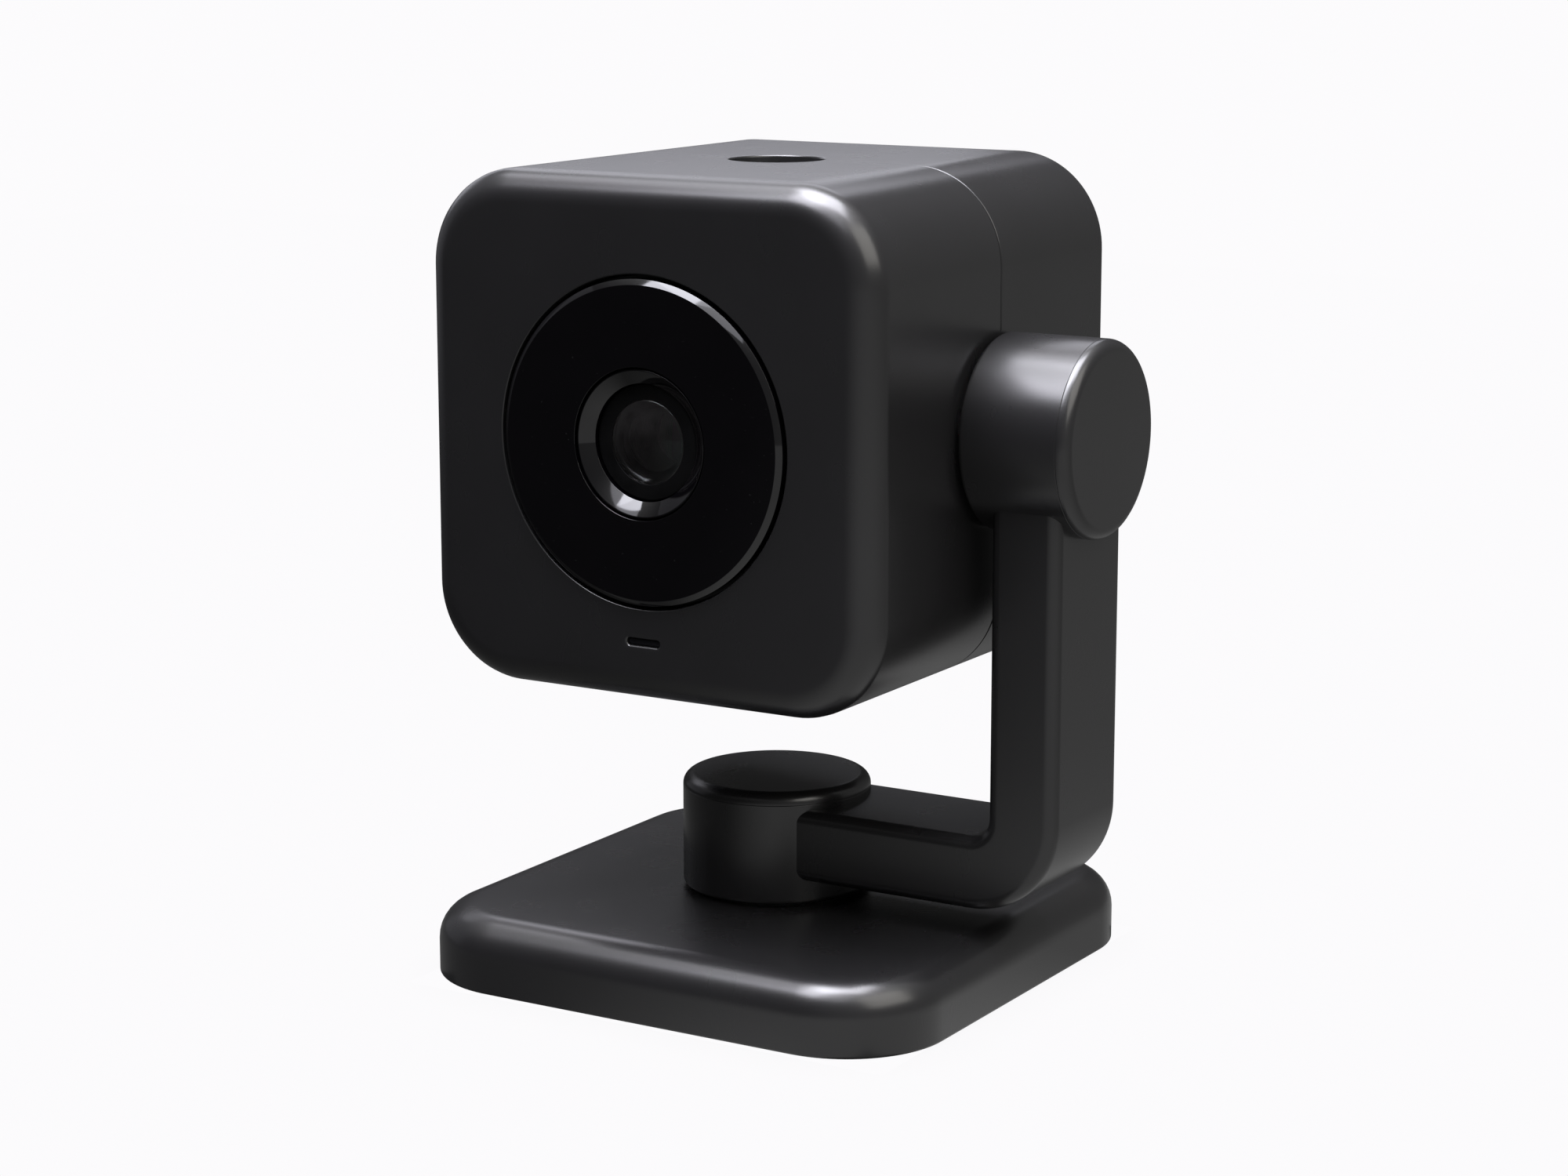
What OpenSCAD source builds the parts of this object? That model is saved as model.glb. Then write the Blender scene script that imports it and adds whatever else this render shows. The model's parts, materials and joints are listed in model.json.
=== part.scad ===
// Compact indoor camera head on a pan and tilt stand.
// The head is two shells around a lens, two boards and a top button. It tilts on a steel shaft
// in the barrel of an L-shaped bracket, and the bracket pans on a second shaft fixed in a
// weighted base. Both pivots are friction pivots: a washer stack held by a nut under a cap.
// Millimetres. +Z is up, the lens looks along -Y, the bracket is on the +X side, and the origin
// is on the pan axis at the underside of the rubber foot.

/* [Head] */
// Width of the head, across the lens face
head_w = 56; // [55:0.5:59]
// Height of the head
head_h = 56; // [54:0.5:60]
// Depth of the front shell, from the lens face back to the seam
front_d = 27.6; // [26:0.1:29]
// Depth of the rear shell, from the seam to the back face
rear_d = 24.9; // [24:0.1:28]
// Radius of the four long corners
head_corner_r = 10.6; // [9:0.1:12]
// Radius of the rounded edge around the lens face
head_front_r = 3.4; // [2:0.1:3.8]
// Wall thickness of the shells
head_wall = 2; // [1.8:0.1:2.2]
// Thickness of the front wall that carries the window
front_wall = 3.6; // [3.2:0.1:4]
// Width of the seam between the shells
seam_gap = 0.12; // [0.08:0.02:0.2]

/* [Lens] */
// Radius of the round pocket in the lens face
pocket_r = 17.8; // [16:0.1:18.5]
// Depth of that pocket
pocket_d = 2; // [1.8:0.1:2.2]
// Radial gap between the window and its pocket
window_gap = 0.45; // [0.2:0.05:0.6]
// How far the window stands proud of the lens face
window_proud = 0.5; // [0:0.1:0.8]
// Radial width of the polished chamfer around the window
window_bevel_w = 0.6; // [0.4:0.05:1.2]
// Depth of that chamfer
window_bevel_d = 0.45; // [0.2:0.05:0.8]
// Radius of the lens funnel at its front edge
funnel_r = 7.75; // [7.5:0.05:8]
// Radius of the funnel at its inner end
funnel_inner_r = 6.3; // [6.25:0.05:6.6]
// Depth of the funnel
funnel_d = 1.05; // [0.8:0.05:1.15]
// Radius of the front lens
lens_r = 4.45; // [4:0.05:4.8]
// Height of the front lens dome
lens_dome = 0.7; // [0.4:0.05:0.9]

/* [Button and status light] */
// Radius of the button well in the top of the head
button_well_r = 5.3; // [4.5:0.1:5.6]
// How far the button sits below the top face
button_recess = 1; // [0.8:0.1:1.2]
// Travel of the button
button_travel = 0.5; // [0.3:0.1:0.5]
// Length of the status light slot
slot_w = 4.1; // [3:0.1:5]
// Height of the status light slot
slot_h = 0.8; // [0.8:0.1:1.2]
// Distance of the slot below the lens axis
slot_drop = 21.4; // [20.8:0.1:21.8]

/* [Pivots] */
// Height of the tilt axis above the table
tilt_z = 63.1; // [62:0.1:66]
// Radius of the hub and of the barrel
knuckle_r = 10.7; // [10.4:0.1:11]
// Length of the hub and of the barrel, cap included
knuckle_len = 12.9; // [12.6:0.1:13.5]
// Radius of the rounded rim of the caps
rim_r = 1.4; // [1:0.1:1.5]
// Gap between the head and the barrel
head_gap = 0.45; // [0.4:0.05:0.6]
// Gap between the base and the hub
hub_gap = 0.4; // [0.4:0.05:0.6]
// Radius of the two pivot shafts
shaft_r = 3; // [2.5:0.1:3]
// Tilt travel each way, in degrees
tilt_limit = 75; // [45:1:80]

/* [Bracket] */
// Width of the bracket arm, front to back
arm_w = 15.7; // [14:0.1:16]
// Thickness of the bracket arm
arm_t = 8.2; // [7.8:0.1:8.4]
// Height of the underside of the lower arm
arm_low_z = 11.5; // [11:0.1:12]
// Distance from the pan axis to the outer face of the upright
arm_out_x = 39.1; // [38.6:0.1:39.8]
// Outside radius of the bend
bend_r = 10.4; // [9.5:0.1:12]
// Radius of the long edges of the arm
arm_edge_r = 1.4; // [0.8:0.1:2]

/* [Base] */
// Width of the base
base_w = 63; // [62:0.5:70]
// Depth of the base
base_d = 62; // [61:0.5:70]
// Height of the base shell
base_h = 8; // [8:0.1:8.4]
// Radius of the corners of the base, seen from above
base_corner_r = 11.9; // [10:0.1:13]
// Radius of the rounded top edge of the base
base_top_r = 4.1; // [3:0.1:4.3]
// How far the base reaches further under the upright than on the other side
base_shift = 0.5; // [0:0.1:2]
// How far the rubber foot stands below the base
foot_proud = 0.4; // [0.3:0.1:0.5]

/* [Hidden] */

$fn = 96;
hull_fn = 32;   // facets on the round children of a hull
skin = 0.05;    // gap between parts that touch
over = 1;       // how far a cutting solid runs past the face it cuts

// Colours
case_black = [0.16, 0.16, 0.17];
gloss_black = [0.03, 0.03, 0.035];
steel = [0.62, 0.63, 0.65];
board_green = [0.05, 0.3, 0.16];
chip_grey = [0.12, 0.12, 0.13];
brass = [0.72, 0.56, 0.26];
acetal = [0.86, 0.85, 0.8];
rubber_grey = [0.1, 0.1, 0.1];
glass_blue = [0.2, 0.25, 0.35, 0.6];
lamp_smoked = [0.12, 0.12, 0.13, 0.85];
polyimide = [0.55, 0.3, 0.1];

// Head, measured from the seam plane and the tilt axis
front_y = -front_d;
back_y = rear_d;
side_x = head_w / 2;
top_z = head_h / 2;
cavity_front_y = front_y + front_wall;
back_wall = 2.2;
cavity_back_y = back_y - back_wall;
lip_t = head_wall / 2 - skin;   // thickness of the rear shell's lip
lip_d = 1.5;                    // how far the lip reaches into the front shell
rib_clear = lip_d + 0.4;        // distance from the seam plane to the ribs in the corners

// Case screws, one in each corner of the head
case_screw_x = side_x - 7;
case_screw_z = top_z - 7;
case_boss_r = 3.2;
case_seat_y = 10;               // plane under the screw heads
case_boss_front_y = -12;
case_pilot_y = -9;              // bottom of the pilot holes in the front shell
case_shank_r = 1.2;
case_head_r = 2.1;

// Lens stack, as depths behind the lens face
window_r = pocket_r - window_gap;
window_back_d = pocket_d - 0.2;
trim_r = funnel_r + 0.35;       // outside of the trim ring, where the window surrounds it
trim_front_d = 0.2 - window_proud;
trim_flange_r = trim_r + 0.7;
trim_hole_r = trim_flange_r + 0.2;
funnel_end_d = trim_front_d + funnel_d;
barrel_top_d = funnel_end_d + 0.45;
barrel_flange_r = funnel_inner_r - 0.1;
barrel_body_r = 6;
barrel_end_d = 10.6;
holder_top_d = 6;
holder_bore_d = 11;
lens_back_d = barrel_top_d + 2;
rear_lens_d = 8.4;

// Boards, as planes in y
sensor_board_y = front_y + 16;
sensor_board_t = 1.2;
main_board_y = 11;
main_board_t = 1.6;
board_w = 44;
board_h = 46;
board_notch = 6;
stack_x = 14.5;
stack_z = 19.5;
stack_hole_r = 1.1;
stack_shank_r = 0.95;
stack_pilot_d = 6;              // depth of the pilot holes in the front posts
post_r = 2.6;
holder_screw_x = 9.6;

// Button and its switch, measured from the tilt axis
button_board_z = top_z - 9;
button_board_t = 1;
switch_h = 3.1;
button_flange_r = button_well_r + 1.3;
button_flange_z = top_z - head_wall - 1.4;
button_screw_x = 9.3;
button_screw_y = -5;

// Power socket on the back
usb_w = 8.94;
usb_h = 3.16;
usb_wall = 0.3;
usb_drop = 15;
usb_mouth_y = back_y - 1.3;

// Tilt bracket inside the head, behind the +X side wall
plate_t = 1.5;
plate_x = side_x - head_wall - 3;
plate_screw_y = -7.5;
plate_screw_z = 7.5;
shaft_flange_t = 1.8;

// Hub and barrel, along their own axis, measured from their inner face
web_t = 3;
knuckle_cavity_r = knuckle_r - 2.2;
foot_round_r = 0.6;
body_len = knuckle_len - rim_r;
running_gap = 0.05;
friction_z = web_t + skin;
friction_t = 0.8;
pressure_z = friction_z + friction_t + skin;
pressure_t = 1;
spring_z = pressure_z + pressure_t + skin;
spring_h = 1.3;
nut_z = spring_z + spring_h + skin;
nut_t = 3.2;
shaft_end_z = nut_z + nut_t + 0.8;
stop_r = knuckle_cavity_r + 1;
stop_lug_half = 8;              // half the angle the stop lug covers
stop_spare = 0.5;               // degrees left between lug and groove at the limit

// Places of the pivots and the bracket
hub_z = foot_proud + base_h + hub_gap;
barrel_x = side_x + head_gap;
arm_mid_x = arm_out_x - arm_t / 2;
arm_mid_z = arm_low_z + arm_t / 2;
bend_x = arm_out_x - bend_r;
bend_z = arm_low_z + bend_r;

// Base, bottom to top
base_z = foot_proud;
base_top_z = base_z + base_h;
base_wall = 2.2;
base_roof = 2;
cover_t = 1.6;
cover_gap = 0.15;
cover_margin = 1.2;
weight_z = base_z + cover_t + 0.2;
weight_t = 4;
weight_gap = 0.4;
base_screw_x = 22.5;
base_screw_y = 22.5;
base_boss_r = 3;
base_shank_r = 1.2;
base_head_r = 2.3;
base_seat_d = 1;                // depth of the screw heads' seats
pad_r = 23;
pad_recess = 0.8;
pan_flange_r = 7;
pan_flange_t = 1.2;

// ---------------------------------------------------------------- shared shapes

// Rectangle with round corners, centred, drawn with true arcs
module rounded_rect(w, h, r) {
    square([w - 2 * r, h], center = true);
    square([w, h - 2 * r], center = true);
    for (x = [-1, 1], y = [-1, 1])
        translate([x * (w / 2 - r), y * (h / 2 - r)]) circle(r = r);
}

// Flat ring
module ring(r_out, r_in, h) {
    difference() {
        cylinder(r = r_out, h = h);
        translate([0, 0, -over]) cylinder(r = r_in, h = h + 2 * over);
    }
}

// Local frame of the lens face: z = 0 on the face, +z out of it
module at_lens() translate([0, front_y, tilt_z]) rotate([90, 0, 0]) children();

// Local frame of a plane y = y0 in the head: x across, y up, +z to the front
module at_plane(y0) translate([0, y0, tilt_z]) rotate([90, 0, 0]) children();

// Local frame of the barrel: +z along the tilt axis, away from the head, +x down
module at_barrel() translate([barrel_x, 0, tilt_z]) rotate([0, 90, 0]) children();

// Local frame of the hub: +z up the pan axis, +x along the lower arm
module at_hub() translate([0, 0, hub_z]) children();

// Four copies, mirrored in x and y
module four_corners(x, y) {
    for (sx = [-1, 1], sy = [-1, 1]) translate([sx * x, sy * y, 0]) children();
}

// Pan-head screw pointing down from z = 0, with a cross recess in its head
module screw(head_r, head_h, shank_r, shank_len) {
    difference() {
        cylinder(r = head_r, h = head_h);
        for (a = [0, 90])
            rotate([0, 0, a])
                translate([0, 0, head_h]) cube([head_r * 1.2, head_r * 0.3, head_h], center = true);
    }
    translate([0, 0, -shank_len]) cylinder(r = shank_r, h = shank_len + 0.1);
}

// Outline of a board, notched at its corners to pass the case bosses
module board_outline() {
    square([board_w, board_h - 2 * board_notch], center = true);
    square([board_w - 2 * board_notch, board_h], center = true);
}

// ---------------------------------------------------------------- pivots

// Outside of the hub or of the barrel, below its cap
module knuckle_body() {
    rotate_extrude() {
        square([knuckle_r - foot_round_r, body_len]);
        translate([0, foot_round_r]) square([knuckle_r, body_len - foot_round_r]);
        translate([knuckle_r - foot_round_r, foot_round_r])
            intersection() {
                circle(r = foot_round_r);
                translate([0, -foot_round_r]) square(foot_round_r);
            }
    }
}

// Room inside the hub or the barrel, with the shaft's bore
module knuckle_room() {
    translate([0, 0, web_t]) cylinder(r = knuckle_cavity_r, h = body_len);
    translate([0, 0, -over]) cylinder(r = shaft_r + running_gap, h = web_t + 2 * over);
}

// Cap with a rounded rim and a spigot that plugs the hub or the barrel
module knuckle_cap() {
    spigot_r = knuckle_cavity_r - 0.08;
    spigot_t = 1.2;
    spigot_h = 1;
    translate([0, 0, body_len]) rotate_extrude() {
        square([knuckle_r - rim_r, rim_r]);
        translate([knuckle_r - rim_r, 0]) intersection() {
            circle(r = rim_r);
            square(rim_r);
        }
        translate([spigot_r - spigot_t, -spigot_h]) square([spigot_t, spigot_h + 0.2]);
    }
}

module friction_washer() {
    translate([0, 0, friction_z])
        ring(knuckle_cavity_r - 0.4, shaft_r + running_gap, friction_t);
}

module pressure_washer() {
    translate([0, 0, pressure_z]) ring(knuckle_cavity_r - 0.6, shaft_r + skin, pressure_t);
}

// Cone-shaped spring washer
module spring_washer() {
    inner_r = shaft_r + skin;
    outer_r = shaft_r + 3.6;
    thickness = 0.6;
    translate([0, 0, spring_z]) rotate_extrude()
        polygon([[inner_r, spring_h - thickness], [outer_r, 0],
                 [outer_r, thickness], [inner_r, spring_h]]);
}

module thin_nut() {
    across_corners_r = shaft_r * 1.92;
    translate([0, 0, nut_z]) difference() {
        cylinder(r = across_corners_r, h = nut_t, $fn = 6);
        translate([0, 0, -over]) cylinder(r = shaft_r + skin, h = nut_t + 2 * over);
    }
}

module thrust_washer(gap) {
    translate([0, 0, -gap + 0.03]) ring(knuckle_r - 2.7, shaft_r + 0.1, gap - 0.06);
}

// Shaft from z = start up to the end of the stack, with a chamfered tip
module stack_shaft(start) {
    tip = 0.4;
    translate([0, 0, start]) cylinder(r = shaft_r, h = shaft_end_z - tip - start);
    translate([0, 0, shaft_end_z - tip]) cylinder(r1 = shaft_r, r2 = shaft_r - tip, h = tip);
}

// ---------------------------------------------------------------- base

// Places things on the middle of the base, which is not quite on the pan axis
module at_base() translate([base_shift, 0, 0]) children();

// Outside of the base, rounded along its top edge
module base_blank() {
    at_base() hull() four_corners(base_w / 2 - base_corner_r, base_d / 2 - base_corner_r) {
        translate([0, 0, base_z])
            cylinder(r = base_corner_r, h = base_h - base_top_r, $fn = 2 * hull_fn);
        translate([0, 0, base_top_z - base_top_r]) rotate_extrude($fn = 2 * hull_fn)
            translate([base_corner_r - base_top_r, 0]) intersection() {
                circle(r = base_top_r, $fn = 2 * hull_fn);
                square(base_top_r);
            }
    }
}

module base_shell() {
    color(case_black) difference() {
        union() {
            difference() {
                base_blank();
                at_base() translate([0, 0, base_z - over])
                    linear_extrude(base_h - base_roof + over)
                        rounded_rect(base_w - 2 * base_wall, base_d - 2 * base_wall,
                                     base_corner_r - base_wall);
                at_base() translate([0, 0, base_z - over])
                    linear_extrude(cover_t + over)
                        rounded_rect(base_w - 2 * cover_margin, base_d - 2 * cover_margin,
                                     base_corner_r - cover_margin);
            }
            at_base() four_corners(base_screw_x, base_screw_y)
                translate([0, 0, base_z + cover_t + skin])
                    cylinder(r = base_boss_r, h = base_h - base_roof - cover_t);
        }
        at_base() four_corners(base_screw_x, base_screw_y)
            translate([0, 0, base_z]) cylinder(r = base_shank_r + skin, h = base_h - base_roof);
        translate([0, 0, base_z]) cylinder(r = shaft_r + 0.1, h = base_h + over);
    }
}

module base_weight() {
    color(steel) difference() {
        at_base() translate([0, 0, weight_z]) linear_extrude(weight_t)
            rounded_rect(base_w - 2 * (base_wall + weight_gap), base_d - 2 * (base_wall + weight_gap),
                         base_corner_r - base_wall - weight_gap);
        at_base() four_corners(base_screw_x, base_screw_y)
            translate([0, 0, weight_z - over])
                cylinder(r = base_boss_r + 0.3, h = weight_t + 2 * over);
        translate([0, 0, weight_z - over]) cylinder(r = shaft_r + skin, h = weight_t + 2 * over);
        translate([0, 0, weight_z - over])
            cylinder(r = pan_flange_r + 0.1, h = pan_flange_t + skin + over);
    }
}

module base_cover() {
    inset = cover_margin + cover_gap;
    color(case_black) difference() {
        at_base() translate([0, 0, base_z]) linear_extrude(cover_t)
            rounded_rect(base_w - 2 * inset, base_d - 2 * inset, base_corner_r - inset);
        at_base() translate([0, 0, base_z - over]) cylinder(r = pad_r + 0.1, h = pad_recess + over);
        at_base() four_corners(base_screw_x, base_screw_y) translate([0, 0, base_z]) {
            translate([0, 0, -over])
                cylinder(r = base_shank_r + 0.1, h = cover_t + 2 * over);
            translate([0, 0, -over]) cylinder(r = base_head_r + 0.1, h = over + base_seat_d);
        }
    }
}

module foot_pad() {
    groove_d = 0.3;
    color(rubber_grey) at_base() difference() {
        cylinder(r = pad_r, h = base_z + pad_recess - skin);
        for (r = [pad_r * 0.4, pad_r * 0.7])
            translate([0, 0, -over]) ring(r + 0.5, r - 0.5, groove_d + over);
    }
}

module base_screws() {
    shank_len = base_h - base_roof - base_seat_d - 0.6;
    color(steel) at_base() four_corners(base_screw_x, base_screw_y)
        translate([0, 0, base_z + base_seat_d - skin]) mirror([0, 0, 1])
            screw(base_head_r, 0.85, base_shank_r, shank_len);
}

module pan_shaft() {
    color(steel) union() {
        at_hub() stack_shaft(weight_z - hub_z);
        translate([0, 0, weight_z]) cylinder(r = pan_flange_r, h = pan_flange_t);
    }
}

module pan_thrust_washer() { color(acetal) at_hub() thrust_washer(hub_gap); }
module pan_pressure_washer() { color(steel) at_hub() pressure_washer(); }
module pan_spring_washer() { color(steel) at_hub() spring_washer(); }
module pan_nut() { color(steel) at_hub() thin_nut(); }

// ---------------------------------------------------------------- bracket

// Cross-section of the arm, long side front to back
module arm_section() rounded_rect(arm_t, arm_w, arm_edge_r);

module arm_bars() {
    // Lower arm, from inside the hub to the bend
    lower_x = shaft_r;
    translate([lower_x, 0, arm_mid_z]) rotate([0, 90, 0])
        linear_extrude(bend_x - lower_x) arm_section();
    // Bend
    translate([bend_x, 0, bend_z]) rotate([90, 0, 0]) rotate([0, 0, -90])
        rotate_extrude(angle = 90) translate([bend_r - arm_t / 2, 0]) arm_section();
    // Upright, from the bend to inside the barrel
    translate([arm_mid_x, 0, bend_z]) linear_extrude(tilt_z - shaft_r - bend_z) arm_section();
}

// Groove in the barrel's wall that limits the stop lug
module stop_groove() {
    half = tilt_limit + stop_lug_half + stop_spare;
    room = 0.2;
    translate([0, 0, pressure_z - room]) rotate([0, 0, 180 - half])
        rotate_extrude(angle = 2 * half)
            translate([knuckle_cavity_r - over, 0])
                square([stop_r - knuckle_cavity_r + over + room, pressure_t + 2 * room]);
}

module arm_bracket() {
    color(case_black) difference() {
        union() {
            arm_bars();
            at_hub() knuckle_body();
            at_barrel() knuckle_body();
        }
        at_hub() knuckle_room();
        at_barrel() knuckle_room();
        at_barrel() stop_groove();
    }
}

module hub_cap() { color(case_black) at_hub() knuckle_cap(); }
module barrel_cap() { color(case_black) at_barrel() knuckle_cap(); }
module pan_friction_washer() { color(acetal) at_hub() friction_washer(); }
module tilt_friction_washer() { color(acetal) at_barrel() friction_washer(); }

// ---------------------------------------------------------------- head shells

// Outside of the front shell: long corners, with the edge of the lens face rounded
module front_blank() {
    inner = head_corner_r - head_front_r;
    at_lens() hull() four_corners(side_x - head_corner_r, top_z - head_corner_r) {
        translate([0, 0, seam_gap / 2 - front_d])
            cylinder(r = head_corner_r, h = front_d - head_front_r - seam_gap / 2,
                     $fn = 2 * hull_fn);
        translate([0, 0, -head_front_r]) rotate_extrude($fn = 2 * hull_fn)
            translate([inner, 0]) intersection() {
                circle(r = head_front_r, $fn = 2 * hull_fn);
                square(head_front_r);
            }
    }
}

// Rounded square through the head from plane y_front to plane y_back, inset from the outside
module head_block(y_front, y_back, inset) {
    at_plane(y_back) linear_extrude(y_back - y_front)
        rounded_rect(head_w - 2 * inset, head_h - 2 * inset, head_corner_r - inset);
}

// Holes that cross the seam: the button well and the tilt shaft's way out
module seam_holes() {
    translate([0, 0, tilt_z + top_z - head_wall - over])
        cylinder(r = button_well_r, h = head_wall + 2 * over);
    translate([side_x - head_wall - over, 0, tilt_z]) rotate([0, 90, 0])
        cylinder(r = shaft_r + 0.3, h = head_wall + 2 * over);
}

// Four bosses for the case screws, from plane y_front to plane y_back
module case_bosses(y_front, y_back) {
    at_plane(y_back) four_corners(case_screw_x, case_screw_z)
        cylinder(r = case_boss_r, h = y_back - y_front);
}

// Ribs that tie those bosses to the corners of the shell
module case_ribs(y_front, y_back) {
    rib_t = 2.4;
    rib_len = 4.5;
    at_plane(y_back)
        for (sx = [-1, 1], sz = [-1, 1])
            translate([sx * case_screw_x, sz * case_screw_z, 0]) rotate([0, 0, atan2(sz, sx)])
                translate([0, -rib_t / 2, 0]) cube([rib_len, rib_t, y_back - y_front]);
}

module case_screw_holes(y_front, y_back, r) {
    at_plane(y_back) four_corners(case_screw_x, case_screw_z)
        cylinder(r = r, h = y_back - y_front);
}

// Posts on the inside of the front wall that carry the two boards
module front_posts() {
    at_plane(sensor_board_y) four_corners(stack_x, stack_z)
        cylinder(r = post_r, h = sensor_board_y - cavity_front_y + 0.5);
}

// Bosses that hold the tilt bracket and the button board in the front shell
module inner_bosses() {
    for (sz = [-1, 1])
        translate([plate_x + plate_t + skin, plate_screw_y, tilt_z + sz * plate_screw_z])
            rotate([0, 90, 0]) cylinder(r = 2.6, h = side_x - head_wall / 2 - plate_x - plate_t);
    for (sx = [-1, 1])
        translate([sx * button_screw_x, button_screw_y, tilt_z + button_board_z + skin])
            cylinder(r = 2, h = top_z - head_wall / 2 - button_board_z);
}

module inner_boss_holes() {
    for (sz = [-1, 1])
        translate([plate_x, plate_screw_y, tilt_z + sz * plate_screw_z])
            rotate([0, 90, 0]) cylinder(r = 0.95, h = 4.2);
    for (sx = [-1, 1])
        translate([sx * button_screw_x, button_screw_y, tilt_z + button_board_z])
            cylinder(r = 0.75, h = 5);
}

module front_shell() {
    color(case_black) difference() {
        union() {
            difference() {
                front_blank();
                head_block(cavity_front_y, over, head_wall);
                head_block(-lip_d - 0.2, over, head_wall - lip_t - skin);
            }
            front_posts();
            inner_bosses();
            case_bosses(case_boss_front_y, -seam_gap / 2);
            case_ribs(case_boss_front_y, -rib_clear);
        }
        seam_holes();
        inner_boss_holes();
        case_screw_holes(case_pilot_y, over, case_shank_r + skin);
        at_plane(sensor_board_y + over) four_corners(stack_x, stack_z)
            cylinder(r = stack_shank_r + skin, h = stack_pilot_d + over);
        at_lens() {
            translate([0, 0, -pocket_d]) cylinder(r = pocket_r, h = pocket_d + over);
            translate([0, 0, -front_wall - over]) cylinder(r = trim_hole_r, h = front_wall + 2 * over);
            translate([0, -slot_drop, -front_wall - over]) linear_extrude(front_wall + 2 * over)
                rounded_rect(slot_w, slot_h, slot_h / 2 - 0.02);
        }
    }
}

module rear_shell() {
    recess_w = 12.6;
    recess_h = 7;
    recess_d = 1.2;
    color(case_black) difference() {
        union() {
            difference() {
                head_block(seam_gap / 2, back_y, 0);
                head_block(-over, cavity_back_y, head_wall);
            }
            difference() {
                head_block(-lip_d, lip_d, head_wall - lip_t);
                head_block(-lip_d - over, lip_d + over, head_wall);
            }
            case_bosses(seam_gap / 2, cavity_back_y + 0.5);
            case_ribs(rib_clear, cavity_back_y + 0.5);
        }
        seam_holes();
        // Room for the button's flange inside the lip
        translate([0, 0, tilt_z + top_z - head_wall - 6])
            cylinder(r = button_flange_r + 0.6, h = 6);
        case_screw_holes(-over, back_y + over, case_shank_r + 0.15);
        case_screw_holes(case_seat_y, back_y + over, case_head_r + 0.3);
        // Power socket: a recess for the plug's grip, then the socket's own opening
        at_plane(back_y + over) translate([0, -usb_drop, 0]) {
            linear_extrude(recess_d + over) rounded_rect(recess_w, recess_h, recess_h / 2 - 0.3);
            linear_extrude(back_wall + 2 * over)
                rounded_rect(usb_w + 0.4, usb_h + 0.4, usb_h / 2 + 0.15);
        }
    }
}

module case_screws() {
    color(steel) at_plane(case_seat_y + skin) four_corners(case_screw_x, case_screw_z)
        mirror([0, 0, 1]) screw(case_head_r, 1.8, case_shank_r, case_seat_y - case_pilot_y - 1);
}

// ---------------------------------------------------------------- lens stack

module lens_window() {
    color(gloss_black) at_lens() rotate_extrude()
        polygon([[trim_r + skin, window_proud], [window_r - window_bevel_w, window_proud],
                 [window_r, window_proud - window_bevel_d], [window_r, -window_back_d],
                 [trim_r + skin, -window_back_d]]);
}

module window_tape() {
    color(chip_grey) at_lens() translate([0, 0, -pocket_d + 0.02])
        ring(window_r - 0.4, trim_hole_r + 1, pocket_d - window_back_d - 0.04);
}

module lens_trim_ring() {
    crest = 0.1;
    shoulder = 0.25;
    flange_d = window_back_d + skin;
    color(gloss_black) at_lens() rotate_extrude()
        polygon([[funnel_r, -trim_front_d], [funnel_r + crest, -trim_front_d],
                 [trim_r, -trim_front_d - shoulder], [trim_r, -flange_d],
                 [trim_flange_r, -flange_d], [trim_flange_r, -front_wall],
                 [funnel_inner_r, -front_wall], [funnel_inner_r, -funnel_end_d]]);
}

module front_lens() {
    sphere_r = (lens_r * lens_r + lens_dome * lens_dome) / (2 * lens_dome);
    color(glass_blue) at_lens() translate([0, 0, -barrel_top_d]) rotate_extrude() union() {
        translate([0, -1.9]) square([lens_r, 1.95]);
        intersection() {
            translate([0, lens_dome - sphere_r]) circle(r = sphere_r);
            square([lens_r, lens_dome + over]);
        }
    }
}

module lens_barrel() {
    bore_r = 3.2;
    rear_seat_r = 3.8;
    color(chip_grey) at_lens() rotate_extrude()
        polygon([[lens_r + skin, -barrel_top_d], [barrel_flange_r, -barrel_top_d],
                 [barrel_flange_r, -holder_top_d + 0.5], [barrel_body_r, -holder_top_d + 0.5],
                 [barrel_body_r, -barrel_end_d], [rear_seat_r, -barrel_end_d],
                 [rear_seat_r, -rear_lens_d], [bore_r, -rear_lens_d],
                 [bore_r, -lens_back_d], [lens_r + skin, -lens_back_d]]);
}

module rear_lens() {
    bulge_r = 9;
    thickness = 1.6;
    color(glass_blue) at_lens() translate([0, 0, -rear_lens_d - skin]) rotate_extrude()
        intersection() {
            translate([0, -bulge_r]) circle(r = bulge_r);
            translate([0, -thickness]) square([3.75, thickness]);
        }
}

module lens_holder() {
    block_w = 15;
    chip_room = 10;
    board_d = sensor_board_y - front_y;
    color(chip_grey) at_lens() difference() {
        union() {
            translate([-block_w / 2, -block_w / 2, -board_d])
                cube([block_w, block_w, board_d - holder_top_d]);
            for (sx = [-1, 1])
                translate([sx * holder_screw_x, 0, -board_d]) cylinder(r = 2.6, h = 3);
        }
        translate([0, 0, -holder_bore_d - over])
            cylinder(r = barrel_body_r + skin, h = holder_bore_d - holder_top_d + 2 * over);
        translate([-chip_room / 2, -chip_room / 2, -board_d - over])
            cube([chip_room, chip_room, board_d - holder_bore_d + over]);
        for (sx = [-1, 1])
            translate([sx * holder_screw_x, 0, -board_d - over]) cylinder(r = 0.8, h = 2.3 + over);
    }
}

module holder_screws() {
    color(steel) at_plane(sensor_board_y + sensor_board_t + skin)
        for (sx = [-1, 1]) translate([sx * holder_screw_x, 0, 0])
            mirror([0, 0, 1]) screw(1.4, 0.9, 0.75, sensor_board_t + 2.1);
}

// ---------------------------------------------------------------- electronics

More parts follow.
